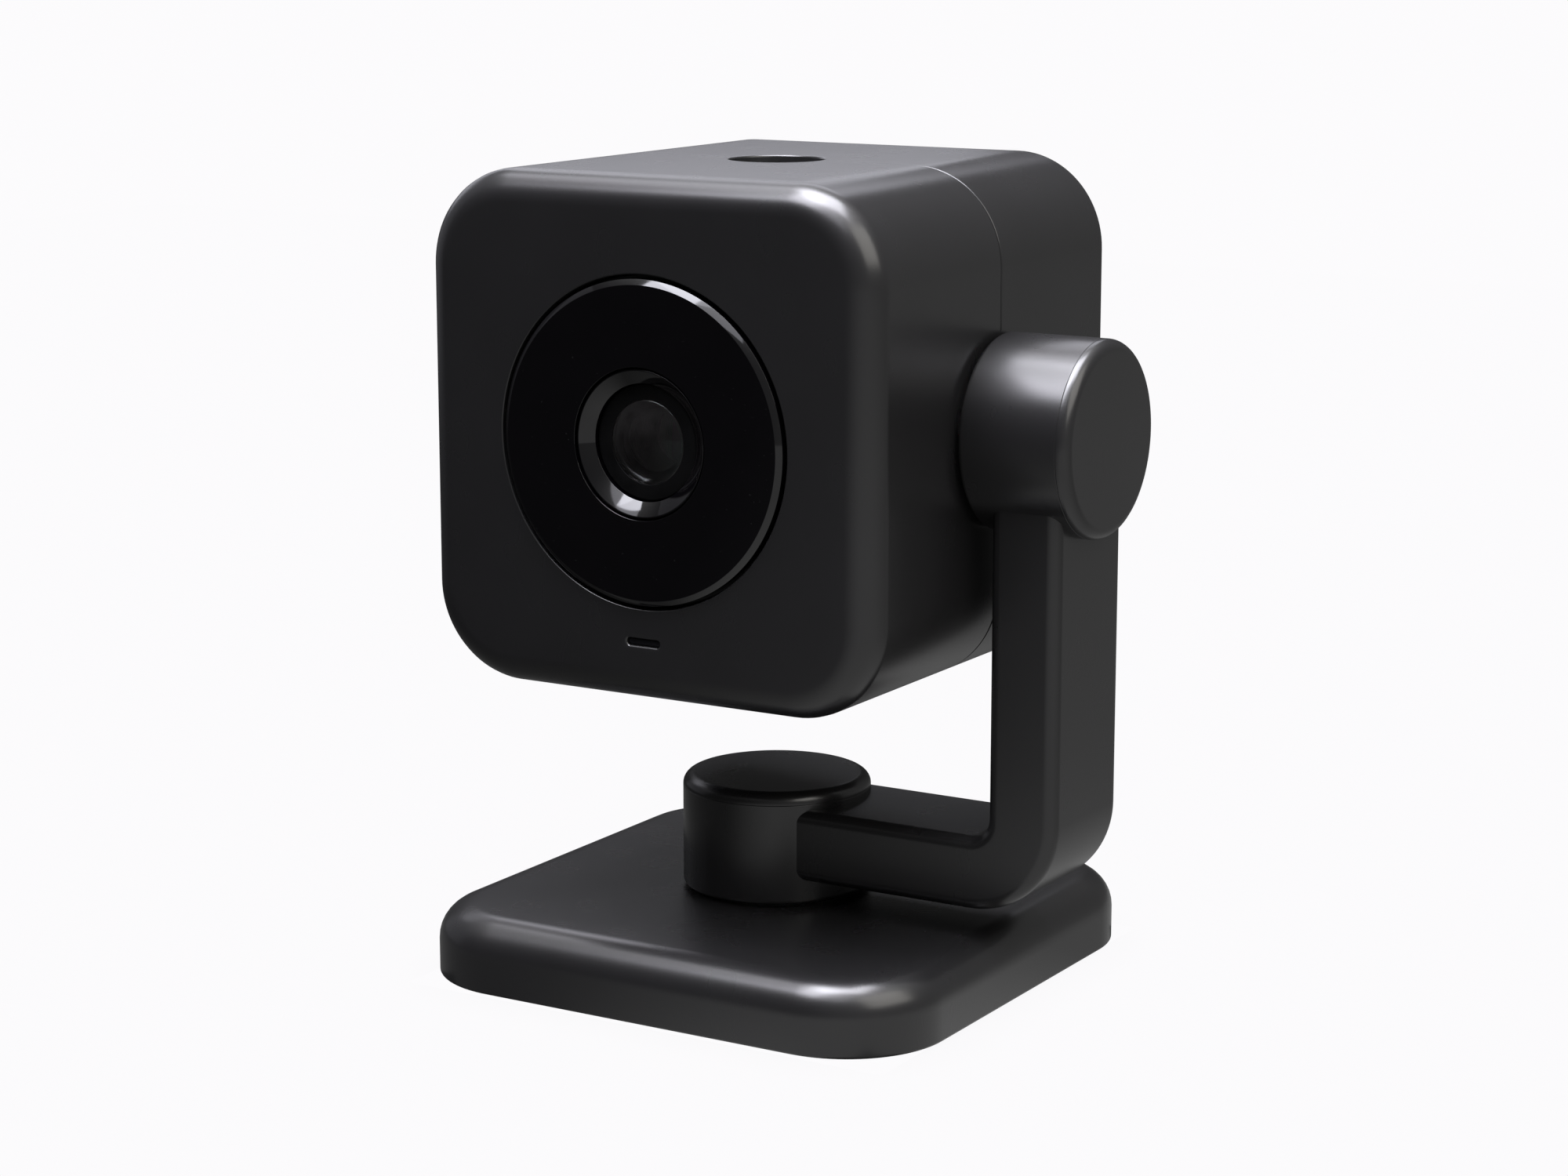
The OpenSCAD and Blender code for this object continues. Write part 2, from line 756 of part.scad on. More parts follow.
module sensor_board() {
    color(board_green) at_plane(sensor_board_y + sensor_board_t) difference() {
        linear_extrude(sensor_board_t - skin) board_outline();
        four_corners(stack_x, stack_z)
            translate([0, 0, -over]) cylinder(r = stack_hole_r, h = sensor_board_t + 2 * over);
        for (sx = [-1, 1]) translate([sx * holder_screw_x, 0, -over])
            cylinder(r = 0.85, h = sensor_board_t + 2 * over);
    }
}

module image_sensor() {
    chip_w = 7.5;
    chip_h = 1.1;
    color(chip_grey) at_plane(sensor_board_y)
        translate([-chip_w / 2, -chip_w / 2, 0]) cube([chip_w, chip_w, chip_h]);
}

module status_led() {
    lamp_w = 3.2;
    lamp_h = 1.6;
    color(lamp_smoked) at_plane(sensor_board_y) translate([-lamp_w / 2, -slot_drop - lamp_h / 2, 0])
        cube([lamp_w, lamp_h, 0.9]);
}

module light_pipe() {
    bar_w = 5;
    bar_h = 2;
    pipe_d = sensor_board_y - front_y - 1;
    color(lamp_smoked) at_lens() translate([0, -slot_drop, 0]) union() {
        translate([0, 0, -front_wall - 0.2]) linear_extrude(front_wall - 0.15)
            rounded_rect(slot_w - 0.12, slot_h - 0.12, slot_h / 2 - 0.1);
        translate([-bar_w / 2, -bar_h / 2, -pipe_d]) cube([bar_w, bar_h, pipe_d - front_wall - 0.1]);
    }
}

module board_spacers() {
    board_gap = main_board_y - sensor_board_y - sensor_board_t;
    color(brass) at_plane(main_board_y - skin) four_corners(stack_x, stack_z)
        ring(2.2, stack_hole_r, board_gap - 2 * skin);
}

module stack_screws() {
    color(steel) at_plane(main_board_y + main_board_t + skin) four_corners(stack_x, stack_z)
        mirror([0, 0, 1])
            screw(1.9, 1.4, stack_shank_r,
                  main_board_y + main_board_t - sensor_board_y + stack_pilot_d - 1);
}

module main_board() {
    color(board_green) at_plane(main_board_y + main_board_t) difference() {
        linear_extrude(main_board_t) board_outline();
        four_corners(stack_x, stack_z)
            translate([0, 0, -over]) cylinder(r = stack_hole_r, h = main_board_t + 2 * over);
    }
}

module processor_shield() {
    shield_w = 20;
    shield_h = 1.8;
    lower_edge = -6;
    color(steel) at_plane(main_board_y - skin)
        translate([-shield_w / 2, lower_edge, 0]) cube([shield_w, shield_w, shield_h]);
}

module usb_socket() {
    body_d = usb_mouth_y - main_board_y - main_board_t;
    floor_t = 3.5;
    color(steel) at_plane(usb_mouth_y) translate([0, -usb_drop, 0]) difference() {
        linear_extrude(body_d - skin) rounded_rect(usb_w, usb_h, usb_h / 2 - 0.02);
        translate([0, 0, -over]) linear_extrude(body_d - floor_t + over)
            rounded_rect(usb_w - 2 * usb_wall, usb_h - 2 * usb_wall, usb_h / 2 - usb_wall - 0.02);
    }
}

module ribbon_cable() {
    ribbon_w = 12;
    ribbon_t = 0.3;
    ribbon_drop = 12.5;
    length = main_board_y - sensor_board_y - sensor_board_t;
    color(polyimide) at_plane(main_board_y - skin) translate([-ribbon_w / 2, -ribbon_drop, 0])
        cube([ribbon_w, ribbon_t, length - 2 * skin]);
}

// ---------------------------------------------------------------- button

module button_board() {
    board_x = 11.5;
    front_edge = -7;
    depth = 13.5;
    color(board_green) translate([0, 0, tilt_z + button_board_z - button_board_t]) difference() {
        translate([-board_x, front_edge, 0]) cube([2 * board_x, depth, button_board_t]);
        for (sx = [-1, 1]) translate([sx * button_screw_x, button_screw_y, -over])
            cylinder(r = 0.85, h = button_board_t + 2 * over);
    }
}

module button_screws() {
    color(steel) for (sx = [-1, 1])
        translate([sx * button_screw_x, button_screw_y, tilt_z + button_board_z - button_board_t - skin])
            mirror([0, 0, 1]) screw(1.5, 0.9, 0.7, 4.5);
}

module button_switch() {
    switch_w = 6;
    color(chip_grey) translate([-switch_w / 2, -switch_w / 2, tilt_z + button_board_z + skin])
        cube([switch_w, switch_w, switch_h]);
}

module top_button() {
    flange_t = 1.3;
    cap_r = button_well_r - 0.08;
    stem_r = 1.5;
    stem_gap = 0.1;
    cap_top = top_z - button_recess;
    stem_z = button_board_z + skin + switch_h + button_travel + stem_gap;
    color(case_black) translate([0, 0, tilt_z]) union() {
        translate([0, 0, button_flange_z]) cylinder(r = cap_r, h = cap_top - button_flange_z);
        translate([0, 0, button_flange_z]) cylinder(r = button_flange_r, h = flange_t);
        translate([0, 0, stem_z]) cylinder(r = stem_r, h = button_flange_z - stem_z + 0.2);
    }
}

// ---------------------------------------------------------------- tilt pivot in the head

module tilt_bracket() {
    plate_w = 18;
    plate_h = 22;
    plate_y = -2;   // middle of the plate, just in front of the tilt axis
    color(steel) translate([plate_x, 0, tilt_z]) rotate([0, 90, 0]) difference() {
        translate([0, plate_y, 0]) linear_extrude(plate_t) rounded_rect(plate_h, plate_w, 2);
        translate([0, 0, -over]) cylinder(r = shaft_r + skin, h = plate_t + 2 * over);
        for (sz = [-1, 1]) translate([sz * plate_screw_z, plate_screw_y, -over])
            cylinder(r = 1.1, h = plate_t + 2 * over);
    }
}

module bracket_screws() {
    color(steel) for (sz = [-1, 1])
        translate([plate_x - skin, plate_screw_y, tilt_z + sz * plate_screw_z])
            rotate([0, -90, 0]) screw(1.9, 1.3, 0.9, 4);
}

module tilt_shaft() {
    flange_r = 5;
    flange_x = plate_x - skin - shaft_flange_t;
    color(steel) union() {
        at_barrel() stack_shaft(flange_x - barrel_x);
        translate([flange_x, 0, tilt_z]) rotate([0, 90, 0])
            cylinder(r = flange_r, h = shaft_flange_t);
    }
}

module tilt_thrust_washer() { color(acetal) at_barrel() thrust_washer(head_gap); }

// Pressure washer with a lug that runs in the barrel's stop groove
module tilt_stop_washer() {
    lug_in_r = knuckle_cavity_r - 1.2;
    color(steel) at_barrel() union() {
        pressure_washer();
        translate([0, 0, pressure_z]) rotate([0, 0, 180 - stop_lug_half])
            rotate_extrude(angle = 2 * stop_lug_half)
                translate([lug_in_r, 0]) square([stop_r - lug_in_r, pressure_t]);
    }
}

module tilt_spring_washer() { color(steel) at_barrel() spring_washer(); }
module tilt_nut() { color(steel) at_barrel() thin_nut(); }

// ---------------------------------------------------------------- assembly

base_shell();
base_weight();
base_cover();
foot_pad();
base_screws();
pan_shaft();
pan_thrust_washer();
pan_pressure_washer();
pan_spring_washer();
pan_nut();
arm_bracket();
hub_cap();
barrel_cap();
pan_friction_washer();
tilt_friction_washer();
front_shell();
rear_shell();
case_screws();
lens_window();
window_tape();
lens_trim_ring();
front_lens();
lens_barrel();
rear_lens();
lens_holder();
holder_screws();
sensor_board();
image_sensor();
status_led();
light_pipe();
board_spacers();
stack_screws();
main_board();
processor_shield();
usb_socket();
ribbon_cable();
button_board();
button_screws();
button_switch();
top_button();
tilt_bracket();
bracket_screws();
tilt_shaft();
tilt_thrust_washer();
tilt_stop_washer();
tilt_spring_washer();
tilt_nut();
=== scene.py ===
"""Looks for a compact camera head on a pan and tilt stand.

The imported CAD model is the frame. Every part that can be seen from outside gets a finished mesh with
softened edges, built here from lofted outlines and rings, and stands in for its CAD node. The parts
inside keep their CAD meshes. All finishes are procedural.

Geometry is worked out in millimetres and scaled to metres when a piece is made.
"""
import json
import math

import bmesh
import bpy
from mathutils import Matrix, Vector

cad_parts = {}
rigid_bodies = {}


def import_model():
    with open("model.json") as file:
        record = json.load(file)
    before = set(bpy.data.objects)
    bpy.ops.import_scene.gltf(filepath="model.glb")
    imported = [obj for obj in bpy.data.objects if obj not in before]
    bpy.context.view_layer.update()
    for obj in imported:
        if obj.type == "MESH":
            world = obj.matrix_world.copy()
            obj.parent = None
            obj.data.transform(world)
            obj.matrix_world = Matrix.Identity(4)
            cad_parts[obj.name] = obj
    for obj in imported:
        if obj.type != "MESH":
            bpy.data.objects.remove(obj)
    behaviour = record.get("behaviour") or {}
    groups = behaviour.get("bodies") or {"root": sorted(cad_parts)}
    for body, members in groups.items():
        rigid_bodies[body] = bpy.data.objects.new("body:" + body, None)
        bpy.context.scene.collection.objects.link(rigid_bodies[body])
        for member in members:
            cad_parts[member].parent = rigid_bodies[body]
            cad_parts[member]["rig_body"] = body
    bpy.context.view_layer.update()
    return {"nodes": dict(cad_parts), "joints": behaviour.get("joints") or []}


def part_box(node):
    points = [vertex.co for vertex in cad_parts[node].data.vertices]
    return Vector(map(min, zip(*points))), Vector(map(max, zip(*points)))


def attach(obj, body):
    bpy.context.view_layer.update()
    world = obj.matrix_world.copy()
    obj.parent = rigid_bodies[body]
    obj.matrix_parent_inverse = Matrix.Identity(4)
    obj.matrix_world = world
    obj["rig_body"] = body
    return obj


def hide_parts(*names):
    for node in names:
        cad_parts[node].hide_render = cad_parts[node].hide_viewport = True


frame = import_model()

MM = 0.001

# ------------------------------------------------------------------ places, from the frame


def box(node):
    """Lowest and highest corner of a CAD node, in millimetres."""
    low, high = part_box(node)
    return low / MM, high / MM


def joint(name):
    """The record's entry for a joint."""
    return next(j for j in frame["joints"] if j["name"] == name)


tilt_z = joint("tilt")["pos_m"][2] / MM
front_low, front_high = box("front_shell")
rear_high = box("rear_shell")[1]
base_low, base_high = box("base_shell")
hub_cap_high = box("hub_cap")[1]
barrel_cap_high = box("barrel_cap")[1]

head_x = front_high.x
head_z = front_high.z - tilt_z
face_y = front_low.y
back_y = rear_high.y
base_mid = (base_low + base_high) / 2
base_half_x = (base_high.x - base_low.x) / 2
base_half_y = (base_high.y - base_low.y) / 2
hub_z = box("arm_bracket")[0].z
knuckle_r = hub_cap_high.x
knuckle_len = hub_cap_high.z - hub_z
barrel_x = barrel_cap_high.x - knuckle_len

# ------------------------------------------------------------------ shapes that a box doesn't tell

SKIN = 0.05             # gap between parts that touch
SOFT = 0.25             # radius on an ordinary moulded edge
CRISP = 0.08            # radius on a machined or a mating edge

# Head
HEAD_CORNER_R = 10.6
FACE_EDGE_R = 3.4
BACK_EDGE_R = 0.7
SEAM_EDGE_R = 0.16
HEAD_WALL = 2.0
FRONT_WALL = 3.6
BACK_WALL = 2.2
LIP_REACH = 1.5
LIP_T = 0.95
POCKET_R = 17.8
POCKET_D = 2.0
POCKET_EDGE_R = 0.18
WELL_R = 5.3
SLOT_W = 4.1
SLOT_H = 0.8
SLOT_DROP = 21.4
CASE_BOSS_R = 3.2
CASE_BOSS_Y = -12.0
CASE_HEAD_R = 2.1
CASE_HEAD_H = 1.8
USB_DROP = 15.0

# Lens
WINDOW_BEVEL_W = 0.6
WINDOW_BEVEL_D = 0.45
TRIM_DROP = 0.2         # front edge of the trim ring, below the front of the window
FUNNEL_R = 7.75
FUNNEL_INNER_R = 6.3
FUNNEL_D = 1.05
LENS_STEP = 0.45        # from the inner end of the funnel down to the lens barrel
LENS_R = 4.45
LENS_DOME = 0.7

# Knuckles and bracket
RIM_R = 1.4
FOOT_R = 0.6
WEB_T = 3.0
SHAFT_R = 3.0
KNUCKLE_WALL = 2.2
ARM_W = 15.7
ARM_T = 8.2
ARM_LOW_Z = 11.5
ARM_OUT_X = 39.1
BEND_R = 10.4
ARM_EDGE_R = 1.4

# Base
BASE_CORNER_R = 11.9
BASE_TOP_R = 4.1
BASE_WALL = 2.2
BASE_ROOF = 2.0
COVER_T = 1.6
COVER_MARGIN = 1.2
COVER_GAP = 0.15
PAD_RECESS = 0.8
BASE_BOSS_R = 3.0
BASE_HEAD_R = 2.3
BASE_HEAD_H = 0.85

window_front = box("lens_window")[0].y - face_y
trim_front = window_front + TRIM_DROP
trim_r = FUNNEL_R + 0.35
funnel_end = trim_front + FUNNEL_D
lens_d = funnel_end + LENS_STEP
body_len = knuckle_len - RIM_R
cavity_r = knuckle_r - KNUCKLE_WALL
cavity_y = face_y + FRONT_WALL

# ------------------------------------------------------------------ local frames


def at_head(u, v, w):
    """u across the head, v up from the tilt axis, w from front to back."""
    return Vector((u, w, tilt_z + v))


def at_face(u, v, w):
    """As at_head, with w as the depth behind the lens face."""
    return Vector((u, face_y + w, tilt_z + v))


def at_top(u, v, w):
    """u and v in plan, w up from the tilt axis."""
    return Vector((u, v, tilt_z + w))


def at_side(u, v, w):
    """u front to back, v up from the tilt axis, w out along the tilt axis."""
    return Vector((w, u, tilt_z + v))


def at_base(u, v, w):
    """u and v in plan from the middle of the base, w up from the table."""
    return Vector((base_mid.x + u, base_mid.y + v, w))


def at_hub(u, v, w):
    """The hub's own axis, w up from its lower face."""
    return Vector((u, v, hub_z + w))


def at_barrel(u, v, w):
    """The barrel's own axis, w out from the face next to the head."""
    return Vector((barrel_x + w, u, tilt_z + v))


def moved(place, du, dv, flip=1):
    """A local frame shifted in its own plane, and turned over if flip is -1."""
    return lambda u, v, w: place(du + u, dv + v, flip * w)


def corners(u, v):
    """The four points (+-u, +-v)."""
    return [(sx * u, sy * v) for sx in (-1, 1) for sy in (-1, 1)]


# ------------------------------------------------------------------ outlines and solids

SIDE_STEPS = 24         # points along each side of a rounded rectangle
CORNER_STEPS = 24       # points round each of its corners
ARC_STEP = math.radians(11)
SHARP = math.radians(28)


def steps(start, end, count):
    """count values from start towards end, without end itself."""
    return [start + (end - start) * k / count for k in range(count)]


def rounded_rect(half_u, half_v, radius):
    """Outline of a rounded rectangle, anticlockwise."""
    loop = []
    for turn in range(4):
        a, b = (half_u, half_v) if turn % 2 == 0 else (half_v, half_u)
        quarter = [(a, t) for t in steps(radius - b, b - radius, SIDE_STEPS)]
        for t in steps(0, math.pi / 2, CORNER_STEPS):
            quarter.append((a - radius + radius * math.cos(t), b - radius + radius * math.sin(t)))
        c, s = round(math.cos(turn * math.pi / 2)), round(math.sin(turn * math.pi / 2))
        loop += [(c * p - s * q, s * p + c * q) for p, q in quarter]
    return loop


def circle(radius, centre=(0.0, 0.0)):
    """Circle with as many points as rounded_rect, in the same order."""
    count = 4 * (SIDE_STEPS + CORNER_STEPS)
    first = -math.pi / 4 * SIDE_STEPS / (SIDE_STEPS + CORNER_STEPS)
    return [(centre[0] + radius * math.cos(first + math.tau * k / count),
             centre[1] + radius * math.sin(first + math.tau * k / count)) for k in range(count)]


def arc(centre, radius, start, turn):
    """Points on an arc, both ends included."""
    count = max(2, math.ceil(abs(turn) / ARC_STEP))
    return [(centre[0] + radius * math.cos(start + turn * k / count),
             centre[1] + radius * math.sin(start + turn * k / count)) for k in range(count + 1)]


def soften(outline, closed=False):
    """Turns (u, v, radius) points into an outline with its corners rounded; a plain (u, v) stays sharp."""
    path = []
    for i, point in enumerate(outline):
        at_end = not closed and i in (0, len(outline) - 1)
        if len(point) == 2 or at_end:
            path.append(tuple(point[:2]))
            continue
        here = Vector(point[:2])
        before = (Vector(outline[i - 1][:2]) - here).normalized()
        after = (Vector(outline[(i + 1) % len(outline)][:2]) - here).normalized()
        half = before.angle(after) / 2
        centre = here + (before + after).normalized() * point[2] / math.sin(half)
        first = here + before * point[2] / math.tan(half) - centre
        last = here + after * point[2] / math.tan(half) - centre
        start = math.atan2(first.y, first.x)
        turn = math.remainder(math.atan2(last.y, last.x) - start, math.tau)
        path += arc(centre, point[2], start, turn)
    return path


def settle(mesh_data):
    """A bmesh as a clean mesh: welded, with its faces outward."""
    bmesh.ops.remove_doubles(mesh_data, verts=mesh_data.verts, dist=1e-4)
    bmesh.ops.recalc_face_normals(mesh_data, faces=mesh_data.faces)
    mesh = bpy.data.meshes.new("solid")
    mesh_data.to_mesh(mesh)
    mesh_data.free()
    return mesh


def add_skin(solid, rows):
    """Quads between each row of vertices and the next. A row is closed on itself."""
    for near, far in zip(rows, rows[1:]):
        for i in range(len(near)):
            j = (i + 1) % len(near)
            solid.faces.new((near[i], near[j], far[j], far[i]))


def loft(place, rings, closed=False):
    """Solid through a row of (loop, w) rings. closed joins the last ring to the first, like a tyre."""
    solid = bmesh.new()
    rows = [[solid.verts.new(place(u, v, w)) for u, v in loop] for loop, w in rings]
    if closed:
        add_skin(solid, rows + rows[:1])
    else:
        add_skin(solid, rows)
        solid.faces.new(rows[0])
        solid.faces.new(rows[-1])
    return settle(solid)


def revolve(place, outline):
    """Solid of revolution about w, from (radius, w, edge radius) points.
    An outline that starts on the axis is open there; any other is closed on itself."""
    ring_shaped = outline[0][0] > 0
    points = soften(outline, closed=ring_shaped)
    rows = [(circle(r), w) for r, w in points if r > 0]
    if ring_shaped:
        return loft(place, rows, closed=True)
    solid = bmesh.new()
    rings = [[solid.verts.new(place(u, v, w)) for u, v in loop] for loop, w in rows]
    add_skin(solid, rings)
    for ring, w in ((rings[0], points[0][1]), (rings[-1], points[-1][1])):
        pole = solid.verts.new(place(0, 0, w))
        for i in range(len(ring)):
            solid.faces.new((ring[i], ring[(i + 1) % len(ring)], pole))
    return settle(solid)


def prism(place, loop, low, high):
    """Straight solid of a loop from w = low to w = high."""
    return loft(place, [(loop, low), (loop, high)])


def merged(meshes):
    """Several meshes as one."""
    solid = bmesh.new()
    for mesh in meshes:
        solid.from_mesh(mesh)
        bpy.data.meshes.remove(mesh)
    mesh = bpy.data.meshes.new("solid")
    solid.to_mesh(mesh)
    solid.free()
    return mesh


def boolean(operation, mesh, tools):
    """Boolean of a solid with tools that don't touch each other. UNION or DIFFERENCE."""
    pair = [bpy.data.objects.new("solid", mesh), bpy.data.objects.new("tool", merged(tools))]
    for obj in pair:
        bpy.context.scene.collection.objects.link(obj)
    modifier = pair[0].modifiers.new("boolean", "BOOLEAN")
    modifier.operation = operation
    modifier.solver = "MANIFOLD"
    modifier.object = pair[1]
    evaluated = pair[0].evaluated_get(bpy.context.evaluated_depsgraph_get())
    result = bpy.data.meshes.new_from_object(evaluated)
    spent = [obj.data for obj in pair]
    for obj in pair:
        bpy.data.objects.remove(obj)
    for old in spent:
        bpy.data.meshes.remove(old)
    return result


def unite(mesh, *tools):
    return boolean("UNION", mesh, tools)


def cut(mesh, *tools):
    return boolean("DIFFERENCE", mesh, tools)


def dress(name, mesh, slot, body):
    """A finished piece from a mesh in millimetres."""
    mesh.transform(Matrix.Scale(MM, 4))
    mesh.shade_smooth()
    mesh.set_sharp_from_angle(angle=SHARP)
    mesh.materials.clear()
    mesh.materials.append(finishes[slot])
    piece = bpy.data.objects.new(name, mesh)
    bpy.context.scene.collection.objects.link(piece)
    normals = piece.modifiers.new("normals", "WEIGHTED_NORMAL")
    normals.keep_sharp = True
    normals.weight = 80
    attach(piece, body)
    return piece


def stand_in(node, mesh):
    """A finished piece that is shown instead of a CAD node, in that node's material slot."""
    cad = frame["nodes"][node]
    piece = dress(node + "_finished", mesh, cad.data.materials[0].name, cad["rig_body"])
    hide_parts(node)
    return piece


# ------------------------------------------------------------------ node trees


def new_tree(name):
    """A material with an empty node tree."""
    material = bpy.data.materials.new(name)
    material.use_nodes = True
    material.node_tree.nodes.clear()
    return material, material.node_tree


def add(tree, kind, settings=None, **inputs):
    """Adds a shader node. An input is a value or another node's output socket."""
    made = tree.nodes.new("ShaderNode" + kind)
    for key, value in (settings or {}).items():
        setattr(made, key, value)
    for key, value in inputs.items():
        socket = made.inputs[key.replace("_", " ")]
        if isinstance(value, bpy.types.NodeSocket):
            tree.links.new(value, socket)
        else:
            socket.default_value = value
    return made


def calc(tree, operation, a, b=0.0):
    """Output of a math node."""
    made = tree.nodes.new("ShaderNodeMath")
    made.operation = operation
    for socket, value in zip(made.inputs, (a, b)):
        if isinstance(value, bpy.types.NodeSocket):
            tree.links.new(value, socket)
        else:
            socket.default_value = value
    return made.outputs[0]


def ramp(tree, value, low, high, to_low=0.0, to_high=1.0):
    """Output of a clamped map range node."""
    made = add(tree, "MapRange", {"clamp": True}, Value=value, From_Min=low, From_Max=high,
               To_Min=to_low, To_Max=to_high)
    return made.outputs[0]


def noise(tree, size_mm, detail=3.0, roughness=0.5, stretch=(1, 1, 1)):
    """Noise in object space with features of about size_mm."""
    coords = add(tree, "TexCoord").outputs["Object"]
    scaled = add(tree, "Mapping", Vector=coords, Scale=stretch).outputs[0]
    return add(tree, "TexNoise", Vector=scaled, Scale=1 / (size_mm * MM), Detail=detail,
               Roughness=roughness).outputs["Fac"]


def blend(tree, factor, first, second):
    """Mix of two colours."""
    return add(tree, "MixRGB", Fac=factor, Color1=first, Color2=second).outputs[0]


def edge_mask(tree, radius_mm, low=0.01, high=0.12):
    """1 on the convex and concave edges of a piece, 0 away from them."""
    rounded = add(tree, "Bevel", {"samples": 6}, Radius=radius_mm * MM).outputs[0]
    plain = add(tree, "NewGeometry").outputs["Normal"]
    dot = tree.nodes.new("ShaderNodeVectorMath")
    dot.operation = "DOT_PRODUCT"
    tree.links.new(rounded, dot.inputs[0])
    tree.links.new(plain, dot.inputs[1])
    return ramp(tree, calc(tree, "SUBTRACT", 1.0, dot.outputs["Value"]), low, high)


def bump(tree, height, depth_um, normal=None):
    """Bump of a given depth in micrometres."""
    made = add(tree, "Bump", Height=height, Strength=1.0, Distance=depth_um * 1e-6)
    if normal is not None:
        tree.links.new(normal, made.inputs["Normal"])
    return made.outputs[0]


def surface(tree, **inputs):
    """Principled shader to the material's output."""
    shader = add(tree, "BsdfPrincipled", **inputs)
    target = tree.nodes.new("ShaderNodeOutputMaterial")
    tree.links.new(shader.outputs[0], target.inputs["Surface"])
    return shader


# ------------------------------------------------------------------ finishes


def satin_plastic(name, dark, light, rough, grain_um):
    """Moulded plastic: a fine spark-eroded grain, slow changes in sheen, and edges polished by handling."""
    material, tree = new_tree(name)
    grain = noise(tree, 0.16, detail=2.0, roughness=0.6)
    cloud = noise(tree, 12.0, detail=2.0)
    smear = noise(tree, 6.0, detail=2.0, stretch=(1, 1, 0.5))
    edge = calc(tree, "MULTIPLY", edge_mask(tree, 0.3), ramp(tree, smear, 0.35, 0.65, 0.3, 1.0))
    colour = blend(tree, ramp(tree, cloud, 0.3, 0.7), dark, light)
    polished = [min(1, 1.8 * c) for c in light[:3]] + [1]
    worn = blend(tree, calc(tree, "MULTIPLY", edge, 0.25), colour, polished)
    sheen = calc(tree, "ADD", rough, ramp(tree, smear, 0.3, 0.7, -0.005, 0.006))
    sheen = calc(tree, "SUBTRACT", sheen, calc(tree, "MULTIPLY", edge, 0.05))
    surface(tree, Base_Color=worn, Roughness=sheen, IOR=1.5, Normal=bump(tree, grain, grain_um))
    return material


def gloss_plastic(name):
    """Polished black: almost a mirror, with a faint haze and a few dust specks."""
    material, tree = new_tree(name)
    haze = noise(tree, 6.0, detail=4.0)
    dust = ramp(tree, noise(tree, 0.35, detail=1.0), 0.76, 0.82)
    colour = blend(tree, haze, (0.0006, 0.0005, 0.0008, 1), (0.0011, 0.0009, 0.0013, 1))
    colour = blend(tree, calc(tree, "MULTIPLY", dust, 0.03), colour, (0.2, 0.2, 0.2, 1))
    rough = calc(tree, "ADD", ramp(tree, haze, 0.3, 0.7, 0.05, 0.09), calc(tree, "MULTIPLY", dust, 0.05))
    surface(tree, Base_Color=colour, Roughness=rough, IOR=1.49)
    return material


def coated_glass(name):
    """Dark lens glass. Its coating holds reflections back, and turns them from green to red at a slant."""
    material, tree = new_tree(name)
    slant = add(tree, "LayerWeight", Blend=0.35).outputs["Facing"]
    tint = blend(tree, ramp(tree, slant, 0.0, 0.8), (0.2, 0.25, 0.25, 1), (0.32, 0.24, 0.24, 1))
    smudge = ramp(tree, noise(tree, 1.6, detail=4.0), 0.35, 0.75)
    # The haze is a diffuse share taken from the transmission. It is partly a real smudge noise and partly
    # painted light: a height ramp makes it stronger towards the top of the glass, painting a lit upper
    # half.
    height = add(tree, "SeparateXYZ", Vector=add(tree, "TexCoord").outputs["Object"]).outputs["Z"]
    painted_top_light = ramp(tree, height, (tilt_z - 2) * MM, (tilt_z + 4) * MM, 0.3, 1.1)
    haze = calc(tree, "MULTIPLY", calc(tree, "ADD", calc(tree, "MULTIPLY", smudge, 0.012), 0.009), painted_top_light)
    surface(tree, Base_Color=(0.6, 0.56, 0.56, 1), Roughness=calc(tree, "MULTIPLY", smudge, 0.04), IOR=1.5,
            Transmission_Weight=calc(tree, "SUBTRACT", 1.0, haze), Specular_Tint=tint)
    return material


def matt_black(name):
    """Anti-reflective black of the lens parts, lightly blasted."""
    material, tree = new_tree(name)
    grain = noise(tree, 0.08, detail=3.0, roughness=0.7)
    cloud = noise(tree, 2.5)
    colour = blend(tree, cloud, (0.0003, 0.0003, 0.0004, 1), (0.0008, 0.0008, 0.0009, 1))
    surface(tree, Base_Color=colour, Roughness=ramp(tree, cloud, 0.3, 0.7, 0.5, 0.65), IOR=1.2,
            Normal=bump(tree, grain, 6))
    return material


def plated_steel(name):
    """Bright zinc plate over turned or rolled steel."""
    material, tree = new_tree(name)
    brushed = noise(tree, 0.25, detail=4.0, roughness=0.7, stretch=(1, 1, 0.12))
    cloud = noise(tree, 2.0, detail=4.0)
    colour = blend(tree, cloud, (0.46, 0.47, 0.49, 1), (0.62, 0.63, 0.64, 1))
    worn = blend(tree, calc(tree, "MULTIPLY", edge_mask(tree, 0.15), 0.6), colour, (0.78, 0.78, 0.78, 1))
    surface(tree, Base_Color=worn, Metallic=1.0, Roughness=ramp(tree, brushed, 0.3, 0.7, 0.2, 0.38),
            Normal=bump(tree, brushed, 4))
    return material


def black_plate(name):
    """Blackened steel plate with a cast skin and small scuffs."""
    material, tree = new_tree(name)
    skin = noise(tree, 0.9, detail=6.0, roughness=0.7)
    scuff = ramp(tree, noise(tree, 2.2, detail=6.0, stretch=(1, 0.2, 1)), 0.62, 0.72)
    colour = blend(tree, skin, (0.035, 0.035, 0.038, 1), (0.09, 0.09, 0.092, 1))
    colour = blend(tree, calc(tree, "MULTIPLY", scuff, 0.4), colour, (0.3, 0.3, 0.3, 1))
    surface(tree, Base_Color=colour, Metallic=0.9, Roughness=ramp(tree, skin, 0.3, 0.7, 0.35, 0.6),
            Normal=bump(tree, skin, 25))
    return material


